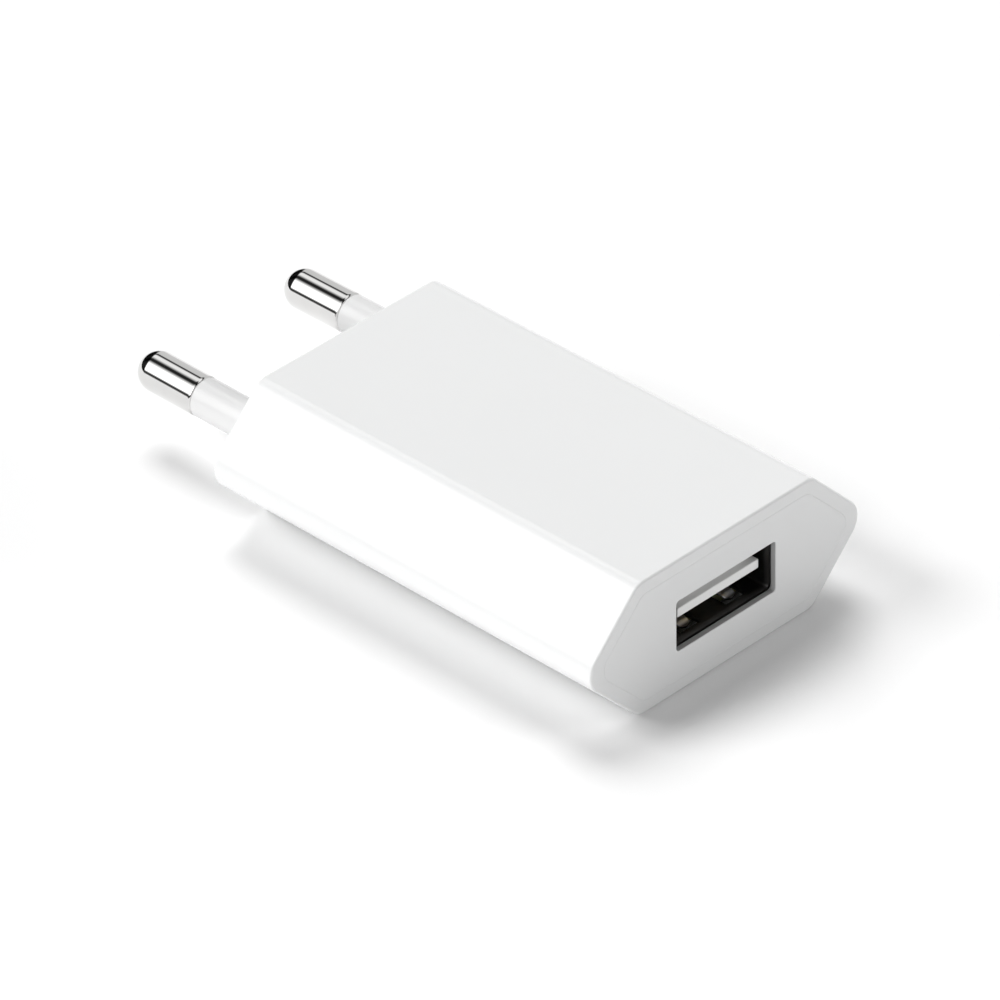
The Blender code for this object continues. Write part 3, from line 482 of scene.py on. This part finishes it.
def mesh_object(name, mesh_data):
    """Turn a bmesh in millimetres into an object in metres."""
    bmesh.ops.recalc_face_normals(mesh_data, faces=mesh_data.faces)
    mesh_data.transform(Matrix.Scale(MM, 4))
    mesh = bpy.data.meshes.new(name)
    mesh_data.to_mesh(mesh)
    mesh_data.free()
    piece = bpy.data.objects.new(name, mesh)
    bpy.context.scene.collection.objects.link(piece)
    return piece


def combine(piece, tools, operation):
    """Cut the tools out of the piece, or weld them to it."""
    for tool in tools:
        modifier = piece.modifiers.new(tool.name, "BOOLEAN")
        modifier.operation = operation
        modifier.solver = "EXACT"
        modifier.object = tool
        with bpy.context.temp_override(object=piece, active_object=piece):
            bpy.ops.object.modifier_apply(modifier=modifier.name)
        bpy.data.objects.remove(tool)


def finish_mesh(piece, body, slot_name, *replaced):
    """Give a piece its final shading, its body, its slot and the nodes it stands for."""
    piece.data.shade_smooth()
    piece.data.set_sharp_from_angle(angle=radians(30))
    weighting = piece.modifiers.new("flat faces stay flat", "WEIGHTED_NORMAL")
    weighting.keep_sharp = True
    weighting.weight = 100
    piece.data.materials.clear()
    piece.data.materials.append(FINISHES[slot_name])
    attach(piece, body)
    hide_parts(*replaced)
    return piece


def move(piece, x, y, z, turn=0.0):
    """Move and turn a mesh in the frame, leaving its object at the origin."""
    piece.data.transform(Matrix.Translation(Vector((x, y, z)) * MM) @ Matrix.Rotation(turn, 4, "Z"))
    return piece


def rounded(corners, radii, steps, closed=True):
    """Replace each corner of a path by an arc. A radius of 0 keeps the corner."""
    points = []
    count = len(corners)
    for index, (corner, radius) in enumerate(zip(corners, radii)):
        at_end = not closed and index in (0, count - 1)
        if radius <= 0 or at_end:
            points.append(Vector(corner))
            continue
        here = Vector(corner)
        back = (Vector(corners[index - 1]) - here).normalized()
        ahead = (Vector(corners[(index + 1) % count]) - here).normalized()
        half_angle = back.angle(ahead) / 2
        centre = here + (back + ahead).normalized() * radius / sin(half_angle)
        start = here + back * radius / tan(half_angle) - centre
        sweep = pi - 2 * half_angle
        side = 1 if back.x * ahead.y - back.y * ahead.x < 0 else -1
        for step in range(steps + 1):
            angle = side * sweep * step / steps
            turned = Vector((start.x * cos(angle) - start.y * sin(angle),
                             start.x * sin(angle) + start.y * cos(angle)))
            points.append(centre + turned)
    return points


def rectangle(half_width, half_height, radius, steps):
    """A rounded rectangle in XZ round the charger's middle."""
    low = MIDDLE - half_height
    high = MIDDLE + half_height
    corners = [(-half_width, low), (half_width, low), (half_width, high), (-half_width, high)]
    return rounded(corners, [radius] * 4, steps)


def quarter_round(steps):
    """Pairs that run from (1, 0) to (0, 1): how far in, and how far along, a rounded edge is."""
    return [(1 - sin(pi / 2 * step / steps), 1 - cos(pi / 2 * step / steps)) for step in range(steps + 1)]


def loft(name, rings, closed_ring=False):
    """Join outlines of equal point count, each (outline in XZ, y), into one skin."""
    mesh_data = bmesh.new()
    loops = [[mesh_data.verts.new((point[0], y, point[1])) for point in outline] for outline, y in rings]
    pairs = list(zip(loops, loops[1:]))
    if closed_ring:
        pairs.append((loops[-1], loops[0]))
    for first, second in pairs:
        count = len(first)
        for index in range(count):
            after = (index + 1) % count
            mesh_data.faces.new((first[index], first[after], second[after], second[index]))
    if not closed_ring:
        mesh_data.faces.new(loops[0])
        mesh_data.faces.new(loops[-1])
    return mesh_object(name, mesh_data)


def box(name, low, high, round_edges=0.0, steps=3):
    mesh_data = bmesh.new()
    bmesh.ops.create_cube(mesh_data, size=1.0)
    bmesh.ops.scale(mesh_data, vec=Vector(high) - Vector(low), verts=mesh_data.verts)
    bmesh.ops.translate(mesh_data, vec=(Vector(high) + Vector(low)) / 2, verts=mesh_data.verts)
    if round_edges:
        bmesh.ops.bevel(mesh_data, geom=mesh_data.edges[:], offset=round_edges, segments=steps,
                        profile=0.5, affect="EDGES")
    return mesh_object(name, mesh_data)


def slab(name, side_view, low, high, round_edges, steps):
    """A plate along X from its outline in YZ, with all its edges rounded."""
    mesh_data = bmesh.new()
    corners = [mesh_data.verts.new((low, y, z)) for y, z in side_view]
    extruded = bmesh.ops.extrude_face_region(mesh_data, geom=[mesh_data.faces.new(corners)])
    moved = [item for item in extruded["geom"] if isinstance(item, bmesh.types.BMVert)]
    bmesh.ops.translate(mesh_data, vec=(high - low, 0, 0), verts=moved)
    bmesh.ops.bevel(mesh_data, geom=mesh_data.edges[:], offset=round_edges, segments=steps,
                    profile=0.5, affect="EDGES")
    return mesh_object(name, mesh_data)


def lathe(name, profile, steps, hollow=False):
    """Turn a profile of (radius, y) points about the Y axis. A hollow profile is a closed loop."""
    mesh_data = bmesh.new()
    rings = []
    for radius, y in profile:
        if radius == 0:
            rings.append([mesh_data.verts.new((0, y, 0))])
            continue
        angles = [2 * pi * step / steps for step in range(steps)]
        rings.append([mesh_data.verts.new((radius * cos(angle), y, radius * sin(angle))) for angle in angles])
    pairs = list(zip(rings, rings[1:]))
    if hollow:
        pairs.append((rings[-1], rings[0]))
    for first, second in pairs:
        for step in range(steps):
            after = (step + 1) % steps
            if len(first) == 1:
                mesh_data.faces.new((first[0], second[step], second[after]))
            elif len(second) == 1:
                mesh_data.faces.new((first[step], first[after], second[0]))
            else:
                mesh_data.faces.new((first[step], first[after], second[after], second[step]))
    return mesh_object(name, mesh_data)


def sheet_strip(name, path, thickness, widths, centre_x):
    """A bent strip of sheet with a width at each point of its centre line, which lies in YZ."""
    mesh_data = bmesh.new()
    rings = []
    for index, point in enumerate(path):
        before = Vector(path[max(index - 1, 0)])
        after = Vector(path[min(index + 1, len(path) - 1)])
        along = (after - before).normalized()
        normal = Vector((-along.y, along.x)) * thickness / 2
        over = Vector(point) + normal
        under = Vector(point) - normal
        half = widths[index] / 2
        ease = min(thickness * 0.22, half * 0.4)
        rim = Vector(point) + normal * 0.45
        low_rim = Vector(point) - normal * 0.45
        ring = [(-half + ease, over), (half - ease, over), (half, rim), (half, low_rim),
                (half - ease, under), (-half + ease, under), (-half, low_rim), (-half, rim)]
        rings.append([mesh_data.verts.new((centre_x + x, place.x, place.y)) for x, place in ring])
    for first, second in zip(rings, rings[1:]):
        for index in range(len(first)):
            after = (index + 1) % len(first)
            mesh_data.faces.new((first[index], first[after], second[after], second[index]))
    mesh_data.faces.new(rings[0])
    mesh_data.faces.new(rings[-1])
    return mesh_object(name, mesh_data)


def round_tip_widths(path, width, tip_width, taper, tip_length):
    """Width at each point of a path whose last stretch narrows and then ends in a round tip."""
    lengths = [0.0]
    for first, second in zip(path[::-1], path[-2::-1]):
        lengths.append(lengths[-1] + (Vector(second) - Vector(first)).length)
    widths = []
    for left in lengths[::-1]:
        share = min(left / taper, 1.0)
        here = tip_width + (width - tip_width) * share
        if left < tip_length:
            here *= max(1 - (1 - left / tip_length) ** 2, 0.0) ** 0.5 * 0.8 + 0.2
        widths.append(here)
    return widths


def refined(path, longest):
    """The same path with extra points, so that no step is longer than stated."""
    points = [Vector(path[0])]
    for first, second in zip(path, path[1:]):
        first, second = Vector(first), Vector(second)
        pieces = max(int((second - first).length / longest + 0.999), 1)
        points += [first.lerp(second, step / pieces) for step in range(1, pieces + 1)]
    return points


# ---------------------------------------------------------------- casing and cover

def body_outline(inset, flat=None, side=None):
    """The casing's six-sided section, moved in from the outside by the inset. The corner radii follow it."""
    slope = hypot(SIDE_REACH, MIDDLE)
    flat_turn = atan2(MIDDLE, SIDE_REACH)
    half_flat = FLAT_WIDTH / 2 - inset * tan(flat_turn / 2)
    half_full = FLAT_WIDTH / 2 + SIDE_REACH - inset * slope / MIDDLE
    top = HEIGHT - inset
    corners = [(-half_flat, inset), (half_flat, inset), (half_full, MIDDLE),
               (half_flat, top), (-half_flat, top), (-half_full, MIDDLE)]
    flat = flat or max(FLAT_RADIUS - inset, 0.3)
    side = side or max(SIDE_RADIUS - inset, 0.3)
    return rounded(corners, [flat, flat, side, flat, flat, side], CORNER_STEPS)


def seam_outline(inset):
    return body_outline(inset, SEAM_FLAT_RADIUS, SEAM_SIDE_RADIUS)


def pin_places():
    """Name, x at the rear face, and turn about Z of each mains pin."""
    return (("left", -BASE_SPACING / 2, -PIN_LEAN), ("right", BASE_SPACING / 2, PIN_LEAN))


def casing_shell():
    """One tube: outside, rounded rear edge, rounded rim, stepped seat for the cover, and cavity."""
    seat = FRONT + COVER_THICKNESS + SEAM_GAP
    stages = [(REAR_ROUND * share, REAR - REAR_ROUND * along) for share, along in quarter_round(EDGE_STEPS)]
    stages += [(RIM_ROUND * share, FRONT + RIM_ROUND * along) for share, along in quarter_round(5)[::-1]]
    rings = [(body_outline(inset), y) for inset, y in stages]
    rings += [(seam_outline(RIM_WALL - SEAM_ROUND * share), FRONT + SEAM_ROUND * along)
              for share, along in quarter_round(4)]
    rings += [(seam_outline(RIM_WALL), seat), (body_outline(WALL), seat),
              (body_outline(WALL), REAR - REAR_WALL)]
    casing = loft("casing_shell", rings)
    bosses, bores = [], []
    hole = SLEEVE_RADIUS + FIT
    for _, x, turn in pin_places():
        back = -REAR_WALL - BOSS_DEPTH
        inside_wall = -REAR_WALL / 2
        boss = [(0, back), (BOSS_RADIUS - 0.2, back), (BOSS_RADIUS, back + 0.2),
                (BOSS_RADIUS, inside_wall), (0, inside_wall)]
        bore = [(0, back - OVERSHOOT), (hole, back - OVERSHOOT)]
        bore += [(hole + BORE_FLARE * share, -BORE_FLARE * along) for share, along in quarter_round(4)[::-1]]
        bore += [(hole + BORE_FLARE, OVERSHOOT), (0, OVERSHOOT)]
        bosses.append(move(lathe("boss", boss, 48), x, REAR, MIDDLE, turn))
        bores.append(move(lathe("bore", bore, 64), x, REAR, MIDDLE, turn))
    rail_top = node_box("circuit_board")[0].z - 0.3
    board_rear = node_box("circuit_board")[1].y
    rails = [box("rail", (side * RAIL_PLACE - 0.5, FRONT + RAIL_START, WALL - 0.3),
                 (side * RAIL_PLACE + 0.5, board_rear, rail_top)) for side in (-1, 1)]
    combine(casing, bosses + rails, "UNION")
    combine(casing, bores, "DIFFERENCE")
    return finish_mesh(casing, BODY, "white_casing", "main_casing")


def cover_plate():
    """Inset end cover with a rounded port edge, and a slotted spigot that enters the casing."""
    plate_back = FRONT + COVER_THICKNESS
    edge = RIM_WALL + SEAM_GAP
    spigot = WALL + 0.1
    deep = plate_back + SPIGOT_DEPTH
    rings = [(seam_outline(edge + SEAM_ROUND * share), FRONT + SEAM_ROUND * along)
             for share, along in quarter_round(4)]
    rings.append((seam_outline(edge), plate_back))
    inner = [(spigot, plate_back), (spigot, deep - 0.2), (spigot + 0.2, deep),
             (spigot + SPIGOT_WALL, deep), (spigot + SPIGOT_WALL, plate_back)]
    rings += [(body_outline(inset), y) for inset, y in inner]
    cover = loft("cover_plate", rings)
    half_width = PORT_WIDTH / 2
    half_height = PORT_HEIGHT / 2
    opening = [(PORT_ROUND, FRONT - 0.5)]
    opening += [(PORT_ROUND * share, FRONT + PORT_ROUND * along) for share, along in quarter_round(5)]
    opening += [(0.0, plate_back + OVERSHOOT)]
    hole = loft("port hole", [(rectangle(half_width + grow, half_height + grow, PORT_CORNER + grow, 8), y)
                              for grow, y in opening])
    pocket_room = SHELL_SHEET + MOUTH_FLARE + POCKET_ROOM
    pocket_width = SHELL_INSIDE_WIDTH / 2 + pocket_room
    pocket_height = SHELL_INSIDE_HEIGHT / 2 + pocket_room
    pocket = box("shell pocket", (-pocket_width, FRONT + PORT_LIP, MIDDLE - pocket_height),
                 (pocket_width, plate_back + OVERSHOOT, MIDDLE + pocket_height))
    slots = [box("slot", (side * SLOT_PLACE - SLOT_HALF_WIDTH, plate_back + 0.3, -OVERSHOOT),
                 (side * SLOT_PLACE + SLOT_HALF_WIDTH, deep + OVERSHOOT, HEIGHT + OVERSHOOT))
             for side in (-1, 1)]
    combine(cover, [hole, pocket] + slots, "DIFFERENCE")
    return finish_mesh(cover, BODY, "white_cover", "front_cover")


# ---------------------------------------------------------------- mains pins

def mains_pin(side, x, turn):
    """Turned pin: round tip, full-width end with a relieved shoulder, slim core and flange."""
    tip = [(PIN_RADIUS * sin(pi / 2 * step / 20), PIN_LENGTH - PIN_RADIUS * (1 - cos(pi / 2 * step / 20)))
           for step in range(21)]
    tip[0] = (0, PIN_LENGTH)
    shoulder = [(PIN_RADIUS - PIN_SHOULDER * share, SLEEVE_LENGTH + PIN_SHOULDER * along)
                for share, along in quarter_round(6)[::-1]]
    flange = -REAR_WALL - BOSS_DEPTH - FLANGE_GAP
    flange_back = flange - FLANGE_THICKNESS
    inner = [(PIN_CORE_RADIUS, SLEEVE_LENGTH), (PIN_CORE_RADIUS, flange),
             (PIN_FLANGE_RADIUS - FLANGE_EDGE, flange), (PIN_FLANGE_RADIUS, flange - FLANGE_EDGE),
             (PIN_FLANGE_RADIUS, flange_back + FLANGE_EDGE), (PIN_FLANGE_RADIUS - FLANGE_EDGE, flange_back),
             (PIN_CORE_RADIUS, flange_back),
             (PIN_CORE_RADIUS, 0.2 - PIN_TAIL), (PIN_CORE_RADIUS - 0.2, -PIN_TAIL), (0, -PIN_TAIL)]
    pin = move(lathe(f"mains_pin_{side}", tip + shoulder + inner, 96), x, REAR, MIDDLE, turn)
    return finish_mesh(pin, BODY, "bright_nickel", f"pin_{side}")


def insulating_sleeve(side, x, turn):
    """Moulded sleeve round the pin's core, from inside the casing to the pin's bare end."""
    bore = PIN_CORE_RADIUS + FIT
    front = SLEEVE_LENGTH - FIT
    back = -REAR_WALL - BOSS_DEPTH
    outside = [(SLEEVE_RADIUS - SLEEVE_EASE * share, front - SLEEVE_EASE * along)
               for share, along in quarter_round(4)]
    profile = outside + [(SLEEVE_RADIUS, back + SLEEVE_EASE), (SLEEVE_RADIUS - SLEEVE_EASE, back),
                         (bore, back), (bore, front)]
    sleeve = move(lathe(f"insulating_sleeve_{side}", profile, 96, hollow=True), x, REAR, MIDDLE, turn)
    return finish_mesh(sleeve, BODY, "white_sleeve", f"pin_sleeve_{side}")


# ---------------------------------------------------------------- receptacle

def spring_finger(x, wall, rise):
    """A tapered finger of the shell's sheet, bent into the opening and ending in a round tip."""
    sign = 1 if rise > 0 else -1
    crest = SHELL_MOUTH + SPRING_CREST
    corners = [(SHELL_MOUTH + SPRING_ROOT, wall), (SHELL_MOUTH + SPRING_BEND, wall), (crest, wall + rise),
               (crest - SPRING_LIP, wall + rise - sign * SPRING_LIP_TURN)]
    path = refined(rounded(corners, [0, 1.5, 0.5, 0], 8, closed=False), 0.12)
    widths = round_tip_widths(path, SPRING_WIDTH, 1.3, 5.0, 0.5)
    return sheet_strip("finger", path, SHELL_SHEET - 0.04, widths, x)


def receptacle_shell():
    """Folded sheet shell with a flared mouth, spring fingers in floor and roof, and two legs."""
    half_width = SHELL_INSIDE_WIDTH / 2
    half_height = SHELL_INSIDE_HEIGHT / 2
    sheet = SHELL_SHEET
    flare = [(MOUTH_FLARE * (1 - sin(pi / 2 * step / 5)), SHELL_MOUTH + FLARE_LENGTH * step / 5)
             for step in range(6)]
    outside = [(sheet + grow, y) for grow, y in flare]
    inside = flare[::-1]
    stages = outside + [(sheet, SHELL_REAR), (0.0, SHELL_REAR)] + inside
    rings = [(rectangle(half_width + grow, half_height + grow, 0.25 + grow, 6), y) for grow, y in stages]
    shell = loft("receptacle_shell", rings, closed_ring=True)
    floor_wall = MIDDLE - half_height - sheet / 2
    roof_wall = MIDDLE + half_height + sheet / 2
    windows, additions = [], []
    for side in (-1, 1):
        x = side * SPRING_SPACING / 2
        for wall, rise in ((floor_wall, FLOOR_SPRING_RISE), (roof_wall, -ROOF_SPRING_DROP)):
            windows.append(box("window", (x - WINDOW_HALF_WIDTH, SHELL_MOUTH + WINDOW_START, wall - 0.5),
                               (x + WINDOW_HALF_WIDTH, SHELL_MOUTH + WINDOW_END, wall + 0.5)))
            additions.append(spring_finger(x, wall, rise))
        inner = side * (half_width + sheet * 0.1)
        outer = side * (half_width + sheet * 0.9)
        leg = SHELL_MOUTH + LEG_PLACE
        additions.append(box("leg", (min(inner, outer), leg - LEG_HALF_WIDTH, SHELL_LOW.z),
                             (max(inner, outer), leg + LEG_HALF_WIDTH, MIDDLE), 0.06, 2))
    combine(shell, windows, "DIFFERENCE")
    combine(shell, additions, "UNION")
    return finish_mesh(shell, BODY, "shell_steel", "usb_shell")


def receptacle_tongue():
    """White tongue and rear block in one moulding, with a groove for each contact."""
    root = BLOCK_FRONT + 0.5
    step_back = TONGUE_FRONT + TONGUE_STEP
    step_floor = TONGUE_TOP - TONGUE_STEP
    side_view = [(TONGUE_FRONT, TONGUE_UNDERSIDE), (root, TONGUE_UNDERSIDE), (root, TONGUE_TOP),
                 (step_back, TONGUE_TOP), (step_back, step_floor), (TONGUE_FRONT, step_floor)]
    tongue = slab("receptacle_tongue", side_view, -TONGUE_WIDTH / 2, TONGUE_WIDTH / 2, 0.12, 3)
    half_width = SHELL_INSIDE_WIDTH / 2 - 0.05
    half_height = SHELL_INSIDE_HEIGHT / 2 - 0.05
    block = box("block", (-half_width, BLOCK_FRONT, MIDDLE - half_height),
                (half_width, BLOCK_REAR, MIDDLE + half_height), 0.2, 3)
    combine(tongue, [block], "UNION")
    cuts = []
    for x in CONTACT_PLACES:
        half = GROOVE_WIDTH / 2
        cuts.append(box("groove", (x - half, TONGUE_FRONT + GROOVE_START, TONGUE_UNDERSIDE - OVERSHOOT),
                        (x + half, BLOCK_FRONT + 0.2, TONGUE_UNDERSIDE + GROOVE_DEPTH), 0.12, 3))
        cuts.append(box("channel", (x - half, BLOCK_FRONT - 0.5, TONGUE_UNDERSIDE - 0.1),
                        (x + half, BLOCK_REAR + OVERSHOOT, TONGUE_UNDERSIDE + GROOVE_DEPTH - 0.05)))
    combine(tongue, cuts, "DIFFERENCE")
    return finish_mesh(tongue, BODY, "white_insulator", "usb_insulator")


def contact_strip(number, x):
    """Sprung front part of a USB contact, with a domed crest and a narrowed, turned-in tip."""
    centre_low = TONGUE_UNDERSIDE - CREST_DROP + CONTACT_SHEET / 2
    corners = [(HINGE_Y + 0.25, HINGE_Z), (HINGE_Y - 1.2, HINGE_Z - 0.02), (CREST_Y, centre_low - 0.12),
               (TONGUE_FRONT + BLADE_TIP, TONGUE_UNDERSIDE + 0.25)]
    path = refined(rounded(corners, [0, 2.0, CREST_RADIUS, 0], 12, closed=False), 0.2)
    widths = round_tip_widths(path, CONTACT_WIDTH, 0.8, 1.4, 0.35)
    strip = sheet_strip(f"contact_strip_{number}", path, CONTACT_SHEET, widths, x)
    return finish_mesh(strip, f"contact_blade_{number}", "gold_contact", f"usb_contact_blade_{number}")


# ---------------------------------------------------------------- parts on the board

def numbered(stem, count):
    return [f"{stem}_{number}" for number in range(1, count + 1)]


def dress(node, material, edge=0.0):
    """Give a frame node its finish, and soften its moulded or cut edges."""
    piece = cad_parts[node]
    piece.data.materials.clear()
    piece.data.materials.append(material)
    if edge:
        softening = piece.modifiers.new("softened edges", "BEVEL")
        softening.width = edge * MM
        softening.segments = 2
        softening.limit_method = "ANGLE"
        softening.angle_limit = radians(40)


def body_material(name, node, colour, roughness, low, high):
    """Finish for a component whose leads leave its body. The box is given as shares of the node's box."""
    least, most = node_box(node)
    size = most - least
    corners = []
    for shares in (low, high):
        corners.append([None if share is None else least[axis] + size[axis] * share
                        for axis, share in enumerate(shares)])
    return leaded_body(name, colour, roughness, *corners)


def dress_board():
    dress("circuit_board", board_laminate())
    core = ferrite()
    dress("transformer_core_front", core, 0.15)
    dress("transformer_core_rear", core, 0.15)
    dress("transformer_bobbin", FINISHES["bobbin_resin"], 0.06)
    dress("transformer_winding", wound_tape("taped_winding", 0.9, "Y"))
    dress("transformer_core_tape", wound_tape("core_tape", 2.7, "Z"))
    for node in numbered("transformer_pin", 6):
        dress(node, FINISHES["tinned_wire"])
    for node in numbered("usb_contact_terminal", 4):
        dress(node, FINISHES["gold_contact"])
    for side in ("left", "right"):
        dress(f"pin_spring_{side}", FINISHES["spring_bronze"])


def dress_components():
    for node in numbered("input_capacitor", 2) + numbered("output_capacitor", 2):
        low, high = node_box(node)
        radius = (high.x - low.x) / 2
        dress(node, shrink_film(node + "_film", (low.x + high.x) / 2, high.z - radius, 1.2, 1.95))
    low, high = node_box("fusible_resistor")
    body_low = low.z + 2.2
    bands = [(body_low + 1.0, (0.20, 0.07, 0.02)), (body_low + 2.1, (0.01, 0.01, 0.01)),
             (body_low + 3.2, (0.55, 0.02, 0.02)), (body_low + 4.9, (0.60, 0.42, 0.10))]
    lacquer = leaded_body("resistor_lacquer", (0.25, 0.36, 0.30), 0.38, (None, low.y, body_low - 1.0),
                          (None, low.y + 2.85, high.z - 0.95), bands=bands)
    dress("fusible_resistor", lacquer)
    dress("safety_capacitor", body_material("blue_resin", "safety_capacitor", (0.035, 0.16, 0.46), 0.3,
                                            (None, None, 0.26), (None, None, 1.01)))
    dress("optocoupler", body_material("optocoupler_resin", "optocoupler", (0.02, 0.02, 0.022), 0.45,
                                       (-0.01, 0.105, 0.24), (1.01, 0.895, 1.01)), 0.05)
    for node in ("controller_chip", "bridge_rectifier", "schottky_diode"):
        low, high = node_box(node)
        share = 0.98 / (high.x - low.x)
        resin = body_material(node + "_resin", node, (0.022, 0.022, 0.024), 0.45,
                              (share, -0.01, -0.01), (1 - share, 1.01, 1.01))
        dress(node, resin, 0.03)
    chips = (("chip_resistor", 6, (0.02, 0.02, 0.022)), ("chip_capacitor", 4, (0.50, 0.34, 0.19)))
    for stem, count, colour in chips:
        for node in numbered(stem, count):
            low, high = node_box(node)
            lengthwise = "X" if high.x - low.x > high.y - low.y else "Y"
            least = (0.19, -0.01, -0.01) if lengthwise == "X" else (-0.01, 0.19, -0.01)
            most = (0.81, 1.01, 1.01) if lengthwise == "X" else (1.01, 0.81, 1.01)
            dress(node, body_material(node + "_ceramic", node, colour, 0.42, least, most), 0.03)


# ---------------------------------------------------------------- light and floor

SUNS = (                       # azimuth from +X towards +Y, elevation and spread in degrees, strength
    ("low left panel", 180.0, 5.0, 10.0, 1.3),
    ("front right panel", -40.0, 15.0, 25.0, 1.35),
    ("front left panel", 210.0, 25.0, 30.0, 0.5),
    ("back right panel", 60.0, 25.0, 30.0, 0.7),
    ("back left panel", 140.0, 40.0, 30.0, 1.9),
    ("high panel", 55.0, 60.0, 30.0, 1.8),
)
AMBIENT = 0.03
BACKDROP = 1.15


def add_lights():
    """Broad soft lights from all round. They make no highlights: the surround does that."""
    for name, azimuth, elevation, spread, strength in SUNS:
        lamp = bpy.data.lights.new(name, "SUN")
        lamp.energy = strength
        lamp.angle = radians(spread)
        light = bpy.data.objects.new(name, lamp)
        bpy.context.scene.collection.objects.link(light)
        bearing = radians(azimuth)
        level = cos(radians(elevation))
        towards = Vector((level * cos(bearing), level * sin(bearing), sin(radians(elevation))))
        light.rotation_euler = towards.to_track_quat("Z", "Y").to_euler()
        light.visible_glossy = False


def add_studio():
    """Even soft surround. Gloss sees long pale panels beside the charger and a dark ceiling between them."""
    world = bpy.data.worlds.new("studio")
    bpy.context.scene.world = world
    world.use_nodes = True
    tree = world.node_tree
    background = tree.nodes["Background"]
    direction = add_node(tree, "ShaderNodeTexCoord").outputs["Generated"]
    x, y, z = axes(tree, direction)
    turn = calculate(tree, "DIVIDE", calculate(tree, "ARCTAN2", z, x), pi)
    panels = add_node(tree, "ShaderNodeValToRGB", {"Fac": turn})
    stops = [(0.00, 0.75), (0.24, 0.75),      # pale wall; each is share of a half turn, brightness
             (0.27, 0.05), (0.30, 0.05),      # gap
             (0.35, 1.1), (0.41, 1.1),        # narrow panel
             (0.51, 0.02), (0.56, 0.02),      # dark ceiling
             (0.71, 2.0), (0.88, 2.0),        # wide panel
             (0.94, 0.04), (0.97, 0.04),      # gap
             (1.00, 0.3)]                     # wall behind it
    ramp = panels.color_ramp
    ramp.interpolation = "EASE"
    while len(ramp.elements) < len(stops):
        ramp.elements.new(0.5)
    for element, (place, level) in zip(ramp.elements, stops):
        element.position = place
        element.color = (level, level, level, 1.0)
    near_end = add_node(tree, "ShaderNodeMapRange", {
        "Value": calculate(tree, "ABSOLUTE", y),
        "From Min": 0.68, "From Max": 0.74, "To Min": 1.0, "To Max": 0.01})
    seen = mixed_colour(tree, near_end.outputs["Result"], (0.0, 0.0, 0.0), panels.outputs["Color"])
    path = add_node(tree, "ShaderNodeLightPath")
    level = mixed_colour(tree, path.outputs["Is Glossy Ray"], (AMBIENT,) * 3, seen)
    level = mixed_colour(tree, path.outputs["Is Camera Ray"], level, (BACKDROP,) * 3)
    tree.links.new(level, background.inputs["Color"])


def add_floor():
    """Plain white sheet."""
    mesh_data = bmesh.new()
    bmesh.ops.create_grid(mesh_data, x_segments=8, y_segments=8, size=3000.0)
    floor = mesh_object("floor", mesh_data)
    material, shader = new_material("floor", {"Roughness": 0.6, "Specular IOR Level": 0.0})
    tree = material.node_tree
    cloud = noise(tree, place_in_mm(tree), 60.0, 2.0)
    paper = mixed_colour(tree, cloud, (0.87, 0.87, 0.87), (0.88, 0.88, 0.88))
    tree.links.new(paper, shader.inputs["Base Color"])
    floor.data.materials.append(material)


# ---------------------------------------------------------------- assembly

def make_finishes():
    """One finish for each material slot that several pieces share."""
    white = (0.705, 0.709, 0.709)
    half_width = PORT_WIDTH / 2 + FIT
    half_height = PORT_HEIGHT / 2 + FIT
    # the port's inner walls, painted grey as shade
    shaded_port_wall = ((-half_width, FRONT + PORT_ROUND, MIDDLE - half_height),
                 (half_width, FRONT + PORT_LIP + FIT, MIDDLE + half_height))
    return {
        "white_casing": moulded_plastic("white_casing", white, 0.20, 1.1, 0.0006, subsurface=0.05),
        "white_cover": moulded_plastic("white_cover", white, 0.34, 0.14, 0.0012, painted_shade_box=shaded_port_wall),
        "white_sleeve": moulded_plastic("white_sleeve", (0.62, 0.62, 0.62), 0.22, 0.5, 0.0006),
        "white_insulator": moulded_plastic("white_insulator", (0.80, 0.80, 0.79), 0.38, 0.12, 0.001),
        "bobbin_resin": moulded_plastic("bobbin_resin", (0.03, 0.03, 0.034), 0.45, 0.15, 0.006, tint=0.25),
        "bright_nickel": plated_metal("bright_nickel", (0.76, 0.755, 0.748), 0.05, (1.0, 12.0, 1.0), 0.6,
                                      0.0002),
        "spring_bronze": plated_metal("spring_bronze", (0.78, 0.60, 0.33), 0.26, (1.0, 0.1, 1.0), 0.1, 0.002),
        "shell_steel": shell_steel(),
        "gold_contact": plated_metal("gold_contact", (0.90, 0.66, 0.28), 0.18, (1.0, 0.15, 1.0), 0.1, 0.001),
        "tinned_wire": plated_metal("tinned_wire", (0.72, 0.72, 0.71), 0.26, (1.0, 1.0, 0.2), 0.15, 0.002),
    }


add_camera()
FINISHES = make_finishes()
casing_shell()
cover_plate()
for side, x, turn in pin_places():
    mains_pin(side, x, turn)
    insulating_sleeve(side, x, turn)
receptacle_shell()
receptacle_tongue()
for number, x in enumerate(CONTACT_PLACES, start=1):
    contact_strip(number, x)
dress_board()
dress_components()
add_lights()
add_studio()
add_floor()
bpy.context.scene.view_settings.view_transform = "Standard"
